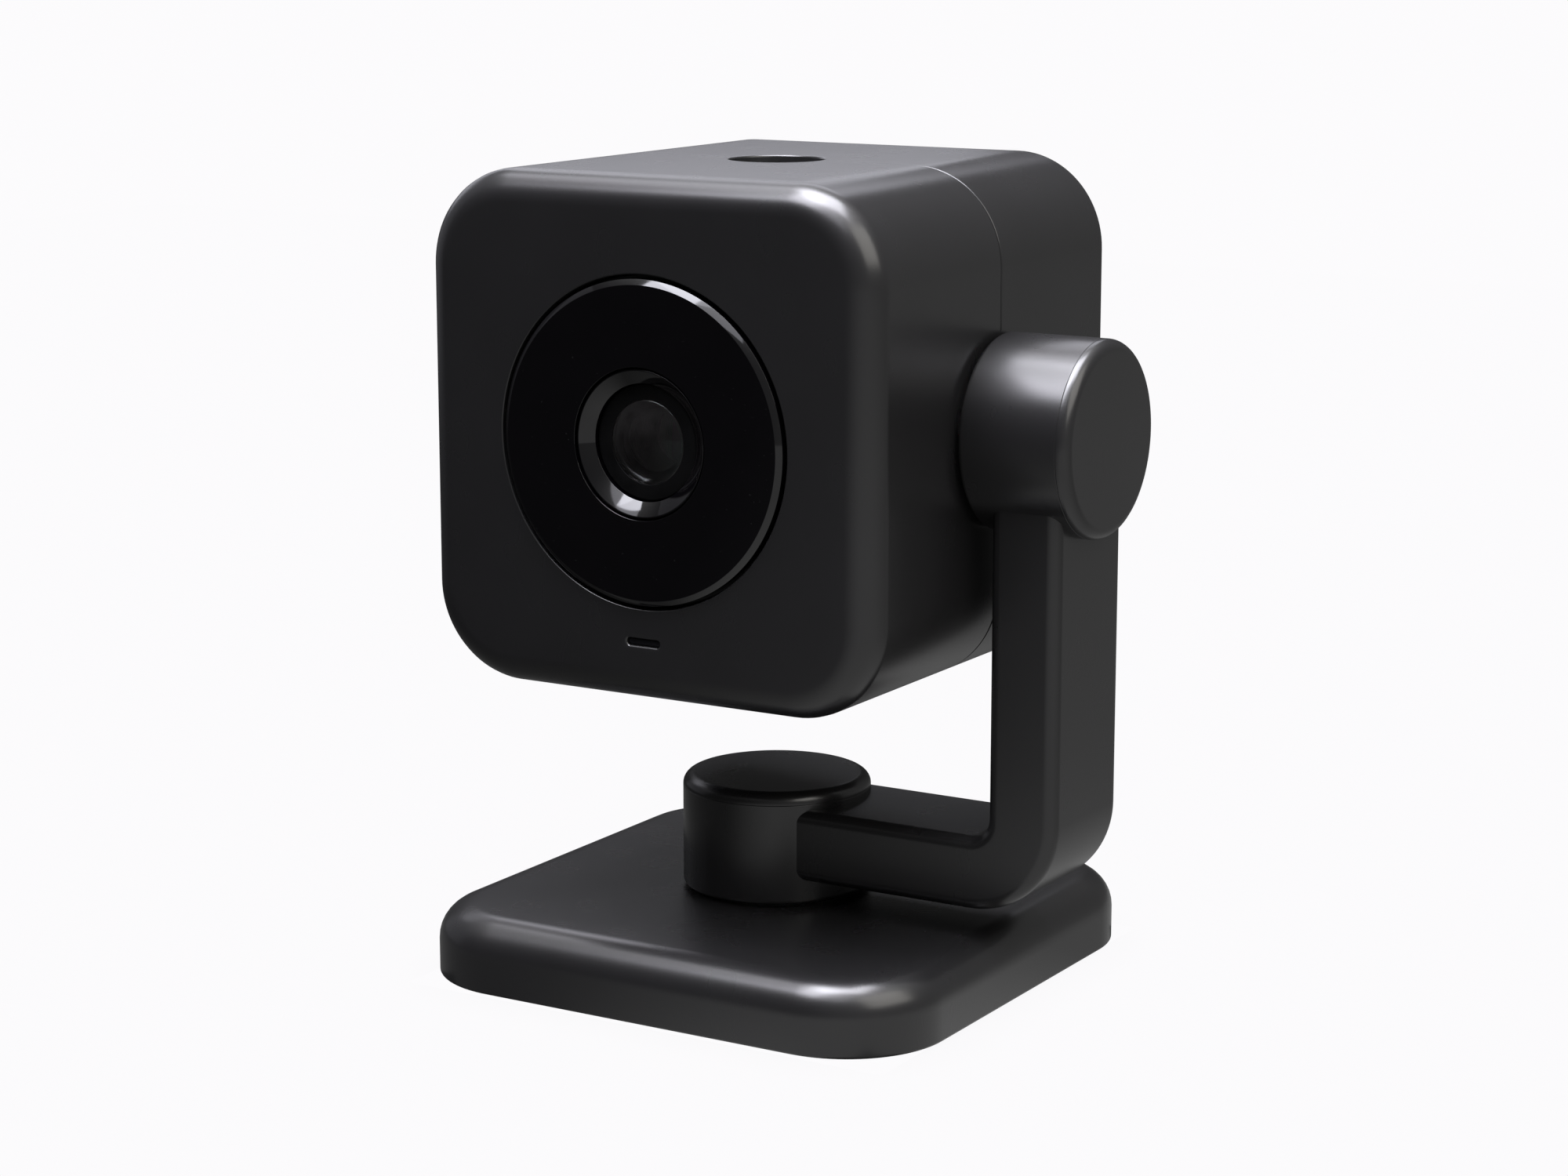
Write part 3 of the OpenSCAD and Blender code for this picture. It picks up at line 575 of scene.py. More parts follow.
def turned_brass(name):
    """Brass bar stock with fine turning marks."""
    material, tree = new_tree(name)
    marks = noise(tree, 0.3, detail=3.0, stretch=(0.1, 1, 0.1))
    tarnish = noise(tree, 1.8, detail=4.0)
    colour = blend(tree, tarnish, (0.62, 0.42, 0.16, 1), (0.78, 0.58, 0.26, 1))
    surface(tree, Base_Color=colour, Metallic=1.0, Roughness=ramp(tree, marks, 0.3, 0.7, 0.18, 0.34),
            Normal=bump(tree, marks, 5))
    return material


def acetal(name):
    """Slippery off-white washer plastic, waxy and slightly grubby where it rubs."""
    material, tree = new_tree(name)
    rub = noise(tree, 1.2, detail=5.0, roughness=0.6)
    colour = blend(tree, ramp(tree, rub, 0.45, 0.75), (0.72, 0.71, 0.66, 1), (0.5, 0.48, 0.43, 1))
    surface(tree, Base_Color=colour, Roughness=ramp(tree, rub, 0.3, 0.7, 0.32, 0.5), Subsurface_Weight=0.15,
            Subsurface_Scale=0.0008, Normal=bump(tree, rub, 6))
    return material


def rubber(name):
    """Soft black rubber with a matt, dusty skin."""
    material, tree = new_tree(name)
    grain = noise(tree, 0.12, detail=4.0, roughness=0.75)
    dust = noise(tree, 5.0, detail=6.0, roughness=0.6)
    colour = blend(tree, ramp(tree, dust, 0.4, 0.75), (0.014, 0.014, 0.014, 1), (0.045, 0.043, 0.04, 1))
    surface(tree, Base_Color=colour, Roughness=ramp(tree, dust, 0.3, 0.7, 0.75, 0.9), IOR=1.45,
            Normal=bump(tree, grain, 22))
    return material


def circuit_board(name):
    """Green solder mask over copper: square traces, with scattered round vias."""
    material, tree = new_tree(name)
    coords = add(tree, "TexCoord").outputs["Object"]
    traces = add(tree, "TexBrick", {"offset": 0.37, "squash": 0.6}, Vector=coords, Scale=260.0,
                 Mortar_Size=0.012, Mortar_Smooth=0.3, Color1=(0, 0, 0, 1), Color2=(0.15, 0.15, 0.15, 1),
                 Mortar=(1, 1, 1, 1)).outputs["Color"]
    cells = add(tree, "TexVoronoi", Vector=coords, Scale=420.0).outputs["Distance"]
    vias = ramp(tree, cells, 0.16, 0.12)
    mask = noise(tree, 3.0, detail=4.0)
    colour = blend(tree, mask, (0.004, 0.05, 0.02, 1), (0.008, 0.075, 0.03, 1))
    colour = blend(tree, calc(tree, "MULTIPLY", traces, 0.5), colour, (0.03, 0.16, 0.06, 1))
    colour = blend(tree, vias, colour, (0.55, 0.5, 0.36, 1))
    relief = calc(tree, "ADD", traces, vias)
    surface(tree, Base_Color=colour, Roughness=ramp(tree, mask, 0.3, 0.7, 0.25, 0.36), Metallic=vias,
            Normal=bump(tree, relief, 25))
    return material


def chip_epoxy(name):
    """Black moulded epoxy of chips and switches, with a blasted face."""
    material, tree = new_tree(name)
    grain = noise(tree, 0.06, detail=3.0, roughness=0.7)
    cloud = noise(tree, 1.5)
    colour = blend(tree, cloud, (0.012, 0.012, 0.013, 1), (0.026, 0.026, 0.027, 1))
    surface(tree, Base_Color=colour, Roughness=ramp(tree, cloud, 0.3, 0.7, 0.45, 0.6),
            Normal=bump(tree, grain, 8))
    return material


def lamp_plastic(name):
    """Smoked plastic of the light pipe and the lamp under it, black while the lamp is off."""
    material, tree = new_tree(name)
    cloud = noise(tree, 0.7, detail=4.0)
    colour = blend(tree, cloud, (0.004, 0.004, 0.005, 1), (0.012, 0.012, 0.014, 1))
    surface(tree, Base_Color=colour, Roughness=ramp(tree, cloud, 0.3, 0.7, 0.25, 0.4),
            Transmission_Weight=0.3, IOR=1.2)
    return material


def foam_tape(name):
    """Black adhesive foam tape with open cells."""
    material, tree = new_tree(name)
    coords = add(tree, "TexCoord").outputs["Object"]
    cells = add(tree, "TexVoronoi", Vector=coords, Scale=4500.0).outputs["Distance"]
    colour = blend(tree, cells, (0.006, 0.006, 0.006, 1), (0.02, 0.02, 0.02, 1))
    surface(tree, Base_Color=colour, Roughness=ramp(tree, cells, 0.0, 0.6, 0.8, 0.95),
            Normal=bump(tree, cells, 40))
    return material


def flat_cable(name):
    """Amber polyimide cable with its copper conductors showing through as fine stripes."""
    material, tree = new_tree(name)
    coords = add(tree, "TexCoord").outputs["Object"]
    stripes = add(tree, "TexWave", {"bands_direction": "X"}, Vector=coords, Scale=320.0).outputs["Fac"]
    cloud = noise(tree, 4.0)
    colour = blend(tree, ramp(tree, stripes, 0.35, 0.65), (0.5, 0.25, 0.06, 1), (0.38, 0.14, 0.05, 1))
    surface(tree, Base_Color=colour, Roughness=ramp(tree, cloud, 0.3, 0.7, 0.3, 0.42),
            Normal=bump(tree, stripes, 20))
    return material


finishes = {
    "case_plastic": satin_plastic("satin_black", (0.0076, 0.0074, 0.0077, 1), (0.0086, 0.0084, 0.0088, 1),
                                  rough=0.27, grain_um=0.1),
    "black_gloss": gloss_plastic("polished_black"),
    "lens_glass": coated_glass("coated_glass"),
    "black_barrel": matt_black("matt_black"),
    "steel": plated_steel("plated_steel"),
    "ballast": black_plate("blackened_plate"),
    "brass": turned_brass("turned_brass"),
    "washer_plastic": acetal("acetal"),
    "rubber": rubber("rubber"),
    "board": circuit_board("circuit_board"),
    "chip": chip_epoxy("chip_epoxy"),
    "lamp": lamp_plastic("lamp_plastic"),
    "tape": foam_tape("foam_tape"),
    "ribbon": flat_cable("flat_cable"),
}

# ------------------------------------------------------------------ head shells


def head_rings(path):
    """Rings of the head's rounded square, from (inset, depth) points."""
    return [(rounded_rect(head_x - i, head_z - i, HEAD_CORNER_R - i), w) for i, w in path]


def post(place, radius, low, high):
    return prism(place, circle(radius), low, high)


def corner_posts(place, u, v, radius, low, high):
    """Four round posts at (+-u, +-v)."""
    return [post(moved(place, du, dv), radius, low, high) for du, dv in corners(u, v)]


def corner_ribs(u, v, low, high):
    """Ribs from the case bosses out to the head's corners."""
    half_t, reach = 1.2, 4.5
    ribs = []
    for du, dv in corners(u, v):
        direction = Vector((du, dv)).normalized()
        across = Vector((-direction.y, direction.x)) * half_t
        start, end = Vector((du, dv)), Vector((du, dv)) + direction * reach
        loop = [tuple(p) for p in (start - across, end - across, end + across, start + across)]
        ribs.append(prism(at_head, loop, low, high))
    return ribs


def flared_hole(place, radius, mouth, end, flare):
    """Tool for a round hole from w = end out to w = mouth, with a rounded edge at its mouth."""
    out = 1 if mouth > end else -1
    return revolve(place, [(0, end), (radius, end), (radius, mouth, flare), (radius + 2, mouth),
                           (radius + 2, mouth + 2 * out), (0, mouth + 2 * out)])


def seam_holes():
    """The button well and the tilt shaft's way out, which both halves share."""
    inside = HEAD_WALL + 1
    well = flared_hole(at_top, WELL_R, head_z, head_z - inside, SOFT)
    shaft = flared_hole(at_side, SHAFT_R + 0.3, head_x, head_x - inside, SOFT)
    return [well, shaft]


SPACER_R = 2.2
RIB_CLEAR = LIP_REACH + 0.4     # from the seam plane to the ribs
TAPPED_R = 1.25                 # hole that a case or base screw bites in
CLEAR_R = 1.35                  # hole that a case screw passes through
STACK_POST_R = 2.6
STACK_HOLE_R = 1.0
SLOT_EDGE_R = 0.28

case_u = box("case_screws")[1].x - CASE_HEAD_R
case_v = box("case_screws")[1].z - tilt_z - CASE_HEAD_R
case_seat_y = box("case_screws")[1].y - CASE_HEAD_H
spacer_low, spacer_high = box("board_spacers")
stack_u = spacer_high.x - SPACER_R
stack_v = (spacer_high.z - spacer_low.z) / 2 - SPACER_R


def front_shell():
    """Cup with the window's pocket in its face, and bosses for the boards and the case screws."""
    seam_y = front_high.y
    step = HEAD_WALL - LIP_T - SKIN
    post_end = box("sensor_board")[0].y - SKIN
    hole_r = box("lens_trim_ring")[1].x + 0.2
    pocket = soften([(hole_r, cavity_y), (hole_r, face_y + POCKET_D), (POCKET_R, face_y + POCKET_D, 0.3),
                     (POCKET_R, face_y, POCKET_EDGE_R), (POCKET_R + 1, face_y)])
    outside = soften([(FACE_EDGE_R + 2, face_y), (0, face_y, FACE_EDGE_R), (0, seam_y, SEAM_EDGE_R),
                      (step, seam_y), (step, -LIP_REACH - 0.2), (HEAD_WALL, -LIP_REACH - 0.2),
                      (HEAD_WALL, cavity_y)])
    mesh = loft(at_head, [(circle(r), w) for r, w in pocket] + head_rings(outside), closed=True)
    mesh = unite(mesh, *corner_posts(at_head, stack_u, stack_v, STACK_POST_R, cavity_y - 0.5, post_end))
    mesh = unite(mesh, *corner_posts(at_head, case_u, case_v, CASE_BOSS_R, CASE_BOSS_Y, seam_y))
    mesh = unite(mesh, *corner_ribs(case_u, case_v, CASE_BOSS_Y, -RIB_CLEAR))
    mesh = unite(mesh, *small_bosses())
    mesh = cut(mesh, *seam_holes())
    mesh = cut(mesh, *corner_posts(at_head, case_u, case_v, TAPPED_R, -9, 1))
    mesh = cut(mesh, *corner_posts(at_head, stack_u, stack_v, STACK_HOLE_R, post_end - 6, post_end + 1))
    slot_mouth = soften([(-0.6, -1), (-0.6, 0), (0, 0, SLOT_EDGE_R), (0, FRONT_WALL + 1)])
    slot = [(rounded_rect(SLOT_W / 2 - i, SLOT_H / 2 - i, SLOT_H / 2 - i - 0.02), w) for i, w in slot_mouth]
    mesh = cut(mesh, loft(moved(at_face, 0, -SLOT_DROP), slot))
    stand_in("front_shell", mesh)


def small_bosses():
    """Bosses inside the front shell for the tilt bracket and the button board."""
    bracket_low, bracket_high = box("bracket_screws")
    button_low, button_high = box("button_screws")
    plate_out = box("tilt_bracket")[1].x + SKIN
    bracket_y = (bracket_low.y + bracket_high.y) / 2
    bracket_v = bracket_high.z - tilt_z - 1.9
    button_u = button_high.x - 1.5
    button_y = (button_low.y + button_high.y) / 2
    board_top = box("button_board")[1].z - tilt_z + SKIN
    bosses = [post(moved(at_side, bracket_y, s * bracket_v), 2.6, plate_out, head_x - 1) for s in (-1, 1)]
    bosses += [post(moved(at_top, s * button_u, button_y), 2.0, board_top, head_z - 1) for s in (-1, 1)]
    return bosses


def rear_shell():
    """Cup with a lip into the front shell, four screw holes and the power socket's recess."""
    seam_y = -front_high.y
    inner_back = back_y - BACK_WALL
    lip_in = HEAD_WALL - LIP_T
    path = soften([(8, back_y), (0, back_y, BACK_EDGE_R), (0, seam_y, SEAM_EDGE_R), (lip_in, seam_y),
                   (lip_in, -LIP_REACH, 0.15), (HEAD_WALL, -LIP_REACH, 0.15), (HEAD_WALL, inner_back),
                   (8, inner_back)])
    mesh = loft(at_head, head_rings(path))
    mesh = unite(mesh, *corner_posts(at_head, case_u, case_v, CASE_BOSS_R, seam_y, inner_back + 0.5))
    mesh = unite(mesh, *corner_ribs(case_u, case_v, RIB_CLEAR, inner_back + 0.5))
    mesh = cut(mesh, *seam_holes())
    button_r = box("top_button")[1].x
    mesh = cut(mesh, post(at_top, button_r + 0.6, head_z - HEAD_WALL - 6, head_z - HEAD_WALL))
    mesh = cut(mesh, *corner_posts(at_head, case_u, case_v, CLEAR_R, -1, back_y + 1))
    head_hole_r, head_hole_end = CASE_HEAD_R + 0.3, case_seat_y - SKIN
    mesh = cut(mesh, *[flared_hole(moved(at_head, du, dv), head_hole_r, back_y, head_hole_end, SOFT)
                       for du, dv in corners(case_u, case_v)])
    socket_place = moved(at_head, 0, -USB_DROP)
    recess_w, recess_h, recess_d, recess_r = 6.3, 3.5, 1.2, 3.2
    recess = soften([(0.4, back_y - recess_d), (0, back_y - recess_d, 0.35), (0, back_y, 0.3),
                     (-0.6, back_y), (-0.6, back_y + 1)])
    mesh = cut(mesh, loft(socket_place, [(rounded_rect(recess_w - i, recess_h - i, recess_r - i), w)
                                         for i, w in recess]))
    usb_low, usb_high = box("usb_socket")
    half_w, half_h = usb_high.x + 0.2, (usb_high.z - usb_low.z) / 2 + 0.2
    opening = rounded_rect(half_w, half_h, half_h - 0.03)
    mesh = cut(mesh, prism(socket_place, opening, inner_back - 1, back_y))
    stand_in("rear_shell", mesh)


# ------------------------------------------------------------------ lens


def lens_window():
    """Black ring with a polished chamfer, proud of the lens face."""
    high = box("lens_window")[1]
    outer_r, depth = high.x, high.y - face_y
    inner_r = trim_r + SKIN
    stand_in("lens_window", revolve(at_face, [
        (inner_r, window_front, 0.04), (outer_r - WINDOW_BEVEL_W, window_front, 0.03),
        (outer_r, window_front + WINDOW_BEVEL_D, 0.03), (outer_r, depth, CRISP), (inner_r, depth, 0.04)]))


def lens_trim_ring():
    """Polished funnel between the window and the lens, on a flange behind the window."""
    high = box("lens_trim_ring")[1]
    flange_r, depth = high.x, high.y - face_y
    flange_d = box("lens_window")[1].y - face_y + SKIN
    stand_in("lens_trim_ring", revolve(at_face, [
        (FUNNEL_R, trim_front, 0.03), (FUNNEL_R + 0.1, trim_front, 0.03), (trim_r, trim_front + 0.25, 0.06),
        (trim_r, flange_d), (flange_r, flange_d, CRISP), (flange_r, depth, CRISP), (FUNNEL_INNER_R, depth),
        (FUNNEL_INNER_R, funnel_end, 0.04)]))


def lens_surface(radius, rise, count=18):
    """Outline of a spherical cap from the axis to its edge, as (radius, height) points."""
    sphere_r = (radius ** 2 + rise ** 2) / (2 * rise)
    radii = [radius * k / count for k in range(count + 1)]
    return [(r, math.sqrt(sphere_r ** 2 - r ** 2) - (sphere_r - rise)) for r in radii]


def front_lens():
    """Domed in front and hollow behind."""
    back = box("front_lens")[1].y - face_y
    hollow = 0.9
    dome = [(r, lens_d - h) for r, h in lens_surface(LENS_R - 0.05, LENS_DOME)]
    cup = [(r, back - h) for r, h in lens_surface(LENS_R - 0.7, hollow)]
    outline = dome + [(LENS_R, lens_d + 0.05), (LENS_R, back - CRISP), (LENS_R - CRISP, back)] + cup[::-1]
    stand_in("front_lens", revolve(at_face, outline))


def rear_lens():
    """Biconvex lens at the back of the barrel."""
    low, high = box("rear_lens")
    near, far, radius = low.y - face_y, high.y - face_y, high.x
    front_rise, back_rise = 0.7, 0.25
    front = [(r, near + front_rise - h) for r, h in lens_surface(radius - 0.05, front_rise)]
    back = [(r, far - back_rise + h) for r, h in lens_surface(radius - 0.3, back_rise)]
    edge = [(radius, near + front_rise + 0.05), (radius, far - back_rise)]
    stand_in("rear_lens", revolve(at_face, front + edge + back[::-1]))


def lens_barrel():
    """Front cell with its seat for the lens, and a bore with glare-stopping grooves."""
    high = box("lens_barrel")[1]
    front_r = high.x
    end = high.y - face_y
    shoulder = box("lens_holder")[0].y - face_y - 0.5
    body_r, bore_r, seat_r = 6.0, 3.2, 3.8
    lens_back = lens_d + 2.0
    seat = box("rear_lens")[0].y - face_y - SKIN
    outline = [(LENS_R + SKIN, lens_d, CRISP), (front_r, lens_d, 0.15), (front_r, shoulder, CRISP),
               (body_r, shoulder), (body_r, end, CRISP), (seat_r, end, CRISP), (seat_r, seat),
               (bore_r, seat)]
    pitch, groove = 0.7, 0.25
    count = int((seat - lens_back) / pitch)
    for k in range(count):
        w = seat - 0.2 - k * pitch
        outline += [(bore_r, w), (bore_r + groove, w - pitch / 2)]
    outline += [(bore_r, lens_back), (LENS_R + SKIN, lens_back)]
    stand_in("lens_barrel", revolve(at_face, outline))


def light_pipe():
    """Smoked bar behind the slot. Its tip fills the slot and its end faces the lamp on the board."""
    low, high = box("light_pipe")
    near, far = low.y - face_y, high.y - face_y
    half_w, half_h = high.x, (high.z - low.z) / 2
    shoulder = FRONT_WALL + 0.1
    tip_w, tip_h = SLOT_W / 2 - 0.06, SLOT_H / 2 - 0.06
    tip = [(rounded_rect(tip_w - i, tip_h - i, tip_h - i - 0.02), w)
           for i, w in soften([(0.2, near), (0, near, 0.12), (0, shoulder + 0.2)])]
    bar = [(rounded_rect(half_w - i, half_h - i, 0.3 - i / 2), w)
           for i, w in soften([(0.25, shoulder), (0, shoulder, 0.15), (0, far, 0.15), (0.25, far)])]
    place = moved(at_face, 0, -SLOT_DROP)
    stand_in("light_pipe", unite(loft(place, bar), loft(place, tip)))


# ------------------------------------------------------------------ button and socket


def top_button():
    """Dished cap in the well, on a flange and a stem."""
    low, high = box("top_button")
    top, bottom = high.z - tilt_z, low.z - tilt_z
    flange_r = high.x
    flange_z = head_z - HEAD_WALL - 1.4
    flange_t = 1.3
    cap_r = WELL_R - 0.08
    stem_r = 1.5
    dish = [(r, top - 0.3 + 0.3 * (r / (cap_r - 0.6)) ** 2) for r in steps(0, cap_r - 0.6, 8)]
    stand_in("top_button", revolve(at_top, dish + [
        (cap_r - 0.6, top, 0.4), (cap_r, top, 0.25), (cap_r, flange_z + flange_t),
        (flange_r, flange_z + flange_t, CRISP), (flange_r, flange_z, CRISP), (stem_r, flange_z),
        (stem_r, bottom, CRISP), (0, bottom)]))


def usb_socket():
    """Drawn metal shell with a rounded mouth, and the tongue inside it."""
    low, high = box("usb_socket")
    half_w, half_h = high.x, (high.z - low.z) / 2
    wall, floor_t = 0.3, 3.5
    path = soften([(0.4, low.y), (0, low.y, 0.2), (0, high.y, 0.1), (wall, high.y, 0.14),
                   (wall, low.y + floor_t), (wall + 0.4, low.y + floor_t)])
    rings = [(rounded_rect(half_w - i, half_h - i, half_h - i - 0.02), w) for i, w in path]
    place = moved(at_head, 0, -USB_DROP)
    stand_in("usb_socket", loft(place, rings))
    tongue = soften([(0.2, low.y + floor_t + 0.01), (0, low.y + floor_t + 0.01), (0, high.y - 0.8, 0.15),
                     (0.2, high.y - 0.8)])
    rings = [(rounded_rect(3.35 - i, 0.35 - i, 0.2 - i / 2), w) for i, w in tongue]
    dress("usb_tongue", loft(place, rings), "black_barrel", "head")


# ------------------------------------------------------------------ screws


SHANK_R = 1.2
base_screw_u = box("base_screws")[1].x - base_mid.x - BASE_HEAD_R
base_screw_v = box("base_screws")[1].y - base_mid.y - BASE_HEAD_R


def cross_tool(place, head_r, head_h):
    """Tapered cross that cuts the driver's recess."""
    arms = []
    for turned in (False, True):
        rings = []
        for w, long_half, wide_half in ((head_h + 0.2, head_r * 0.62, head_r * 0.17),
                                        (head_h * 0.25, head_r * 0.3, head_r * 0.1)):
            loop = [(long_half, -wide_half), (long_half, wide_half), (-long_half, wide_half),
                    (-long_half, -wide_half)]
            rings.append(([(-v, u) for u, v in loop] if turned else loop, w))
        arms.append(loft(place, rings))
    return unite(arms[0], arms[1])


def screw(place, head_r, head_h, shank_r, shank_len):
    """Pan-head screw pointing down from w = 0, with threads as rings on its shank."""
    pitch, tooth, point = 0.5, 0.16, 0.6
    outline = [(0, head_h), (head_r, head_h, head_h * 0.55), (head_r, 0, CRISP), (shank_r, 0)]
    for k in range(int((shank_len - point - 0.6) / pitch)):
        w = -0.5 - k * pitch
        outline += [(shank_r - tooth, w - pitch / 2), (shank_r, w - pitch)]
    outline += [(shank_r - tooth, -shank_len + point), (shank_r * 0.6, -shank_len), (0, -shank_len)]
    return cut(revolve(place, outline), cross_tool(place, head_r, head_h))


def base_screws():
    low, high = box("base_screws")
    seat = low.z + BASE_HEAD_H
    make = [screw(lambda a, b, w, du=du, dv=dv: at_base(du + a, dv + b, seat - w),
                  BASE_HEAD_R, BASE_HEAD_H, SHANK_R, high.z - seat)
            for du, dv in corners(base_screw_u, base_screw_v)]
    stand_in("base_screws", merged(make))


def case_screws():
    low = box("case_screws")[0]
    make = [screw(lambda a, b, w, du=du, dv=dv: at_head(du + a, dv + b, case_seat_y + w),
                  CASE_HEAD_R, CASE_HEAD_H, SHANK_R, case_seat_y - low.y)
            for du, dv in corners(case_u, case_v)]
    stand_in("case_screws", merged(make))


# ------------------------------------------------------------------ base


def base_rings(path):
    """Rings of the base's outline, from (inset, height) points."""
    return [(rounded_rect(base_half_x - i, base_half_y - i, BASE_CORNER_R - i), w) for i, w in path]


def base_shell():
    """Slab that is hollow from below, with a hole for the pan shaft and bosses for the screws."""
    bottom, top = base_low.z, base_high.z
    roof = top - BASE_ROOF
    hole_r = SHAFT_R + 0.1
    axis = (-base_mid.x, -base_mid.y)
    outside = soften([(BASE_TOP_R + 3, top), (0, top, BASE_TOP_R), (0, bottom, 0.35),
                      (COVER_MARGIN, bottom, 0.12), (COVER_MARGIN, bottom + COVER_T),
                      (BASE_WALL, bottom + COVER_T), (BASE_WALL, roof)])
    hole = soften([(hole_r, roof), (hole_r, top, 0.15), (hole_r + 1, top)])
    rings = base_rings(outside) + [(circle(r, axis), w) for r, w in hole]
    mesh = loft(at_base, rings, closed=True)
    mesh = unite(mesh, *corner_posts(at_base, base_screw_u, base_screw_v, BASE_BOSS_R,
                                     bottom + COVER_T + SKIN, roof + SKIN))
    mesh = cut(mesh, *corner_posts(at_base, base_screw_u, base_screw_v, TAPPED_R, bottom, roof))
    stand_in("base_shell", mesh)


def base_cover():
    """Plate in the bottom of the base, with a recess for the foot."""
    low, high = box("base_cover")
    inset = COVER_MARGIN + COVER_GAP
    pad_r = (box("foot_pad")[1].x - base_mid.x) + 0.1
    recess = low.z + PAD_RECESS
    cover_hole_r = 1.3
    outside = soften([(8, high.z), (inset, high.z, 0.15), (inset, low.z, 0.2), (inset + 1, low.z)])
    middle = soften([(pad_r + 1, low.z), (pad_r, low.z, 0.15), (pad_r, recess), (1, recess)])
    mesh = loft(at_base, base_rings(outside) + [(circle(r), w) for r, w in middle])
    head_room = box("base_screws")[0].z + BASE_HEAD_H + SKIN
    holes = [flared_hole(moved(at_base, du, dv), BASE_HEAD_R + 0.1, low.z, head_room, 0.15)
             for du, dv in corners(base_screw_u, base_screw_v)]
    mesh = cut(mesh, *holes)
    mesh = cut(mesh, *corner_posts(at_base, base_screw_u, base_screw_v, cover_hole_r,
                                   low.z - 1, high.z + 1))
    stand_in("base_cover", mesh)


def foot_pad():
    """Rubber disc with a soft edge and ring grooves in its tread."""
    high = box("foot_pad")[1]
    radius, height = high.x - base_mid.x, high.z
    depth, half = 0.3, 0.5
    outline = [(0, height), (radius, height, 0.15), (radius, 0, 0.2)]
    for share in (0.7, 0.4):
        r = radius * share
        outline += [(r + half, 0, 0.12), (r + half - 0.15, depth, 0.1), (r - half + 0.15, depth, 0.1),
                    (r - half, 0, 0.12)]
    stand_in("foot_pad", revolve(at_base, outline + [(0, 0)]))


# ------------------------------------------------------------------ bracket


def knuckle(place):
    """Outside of the hub or of the barrel, under its cap."""
    return revolve(place, [(0, 0), (knuckle_r, 0, FOOT_R), (knuckle_r, body_len, 0.06), (0, body_len)])


def knuckle_room(place):
    """Tool for the room inside it and the shaft's bore."""
    bore_r = SHAFT_R + SKIN
    return revolve(place, [(0, -1), (bore_r, -1), (bore_r, WEB_T, 0.1), (cavity_r, WEB_T, 0.3),
                           (cavity_r, body_len + 1), (0, body_len + 1)])


def arm_bars():
    """The L-shaped arm: one rounded section along a straight, a bend and an upright."""
    solid = bmesh.new()
    section = rounded_rect(ARM_T / 2, ARM_W / 2, ARM_EDGE_R)
    mid_r = BEND_R - ARM_T / 2
    bend = Vector((ARM_OUT_X - BEND_R, 0, ARM_LOW_Z + BEND_R))
    start, top = SHAFT_R + 2, tilt_z - SHAFT_R - 2
    spine = [(Vector((start, 0, ARM_LOW_Z + ARM_T / 2)), 0.0)]
    bend_steps = 24
    for k in range(bend_steps + 1):
        angle = math.pi / 2 * k / bend_steps
        spine.append((bend + Vector((math.sin(angle), 0, -math.cos(angle))) * mid_r, angle))
    spine.append((Vector((ARM_OUT_X - ARM_T / 2, 0, top)), math.pi / 2))
    rows = []
    for point, angle in spine:
        out = Vector((math.sin(angle), 0, -math.cos(angle)))
        rows.append([solid.verts.new(point + out * u + Vector((0, v, 0))) for u, v in section])
    add_skin(solid, rows)
    solid.faces.new(rows[0])
    solid.faces.new(rows[-1])
    return settle(solid)


def arm_bracket():
    """Arm, hub and barrel in one, with a room for the washers at each end."""
    mesh = unite(arm_bars(), knuckle(at_hub), knuckle(at_barrel))
    mesh = cut(mesh, knuckle_room(at_hub), knuckle_room(at_barrel))
    stand_in("arm_bracket", mesh)


def knuckle_cap(node, place):
    """Cap with a rounded rim and a spigot into the room."""
    spigot_r, spigot_t, spigot_h = cavity_r - 0.08, 1.2, 1.0
    stand_in(node, revolve(place, [
        (0, knuckle_len), (knuckle_r, knuckle_len, RIM_R - 0.07), (knuckle_r, body_len, 0.06),
        (spigot_r, body_len), (spigot_r, body_len - spigot_h, 0.15),
        (spigot_r - spigot_t, body_len - spigot_h, 0.1), (spigot_r - spigot_t, body_len), (0, body_len)]))


# ------------------------------------------------------------------ the whole object

front_shell()
rear_shell()
lens_window()
lens_trim_ring()
front_lens()
rear_lens()
lens_barrel()
light_pipe()
top_button()
usb_socket()
base_screws()
case_screws()
base_shell()
base_cover()
foot_pad()
arm_bracket()
knuckle_cap("hub_cap", at_hub)
knuckle_cap("barrel_cap", at_barrel)

for cad_node in frame["nodes"].values():
    if not cad_node.hide_render:
        slot_name = cad_node.data.materials[0].name
        cad_node.data.materials[0] = finishes[slot_name]

# ------------------------------------------------------------------ stage


def toward(azimuth, elevation):
    """Unit vector: azimuth in degrees from the front of the object towards its right, elevation upwards."""
    a, e = math.radians(azimuth), math.radians(elevation)
    return Vector((math.sin(a) * math.cos(e), -math.cos(a) * math.cos(e), math.sin(e)))


def camera():
    """Looks down at the object from its right, as far round and up as the angles say."""
    distance = 393.99 * MM
    target = Vector((0.92, 0.0, 42.99)) * MM
    back = toward(30.99, 11.40)
    data = bpy.data.cameras.new("camera")
    data.lens = 80.31
    data.sensor_width = 36.0
    data.clip_start, data.clip_end = 0.01, 20.0
    made = bpy.data.objects.new("camera", data)
    made.location = target + back * distance
    made.rotation_mode = "QUATERNION"
    made.rotation_quaternion = (-back).to_track_quat("-Z", "Y")
    bpy.context.scene.collection.objects.link(made)
    bpy.context.scene.camera = made


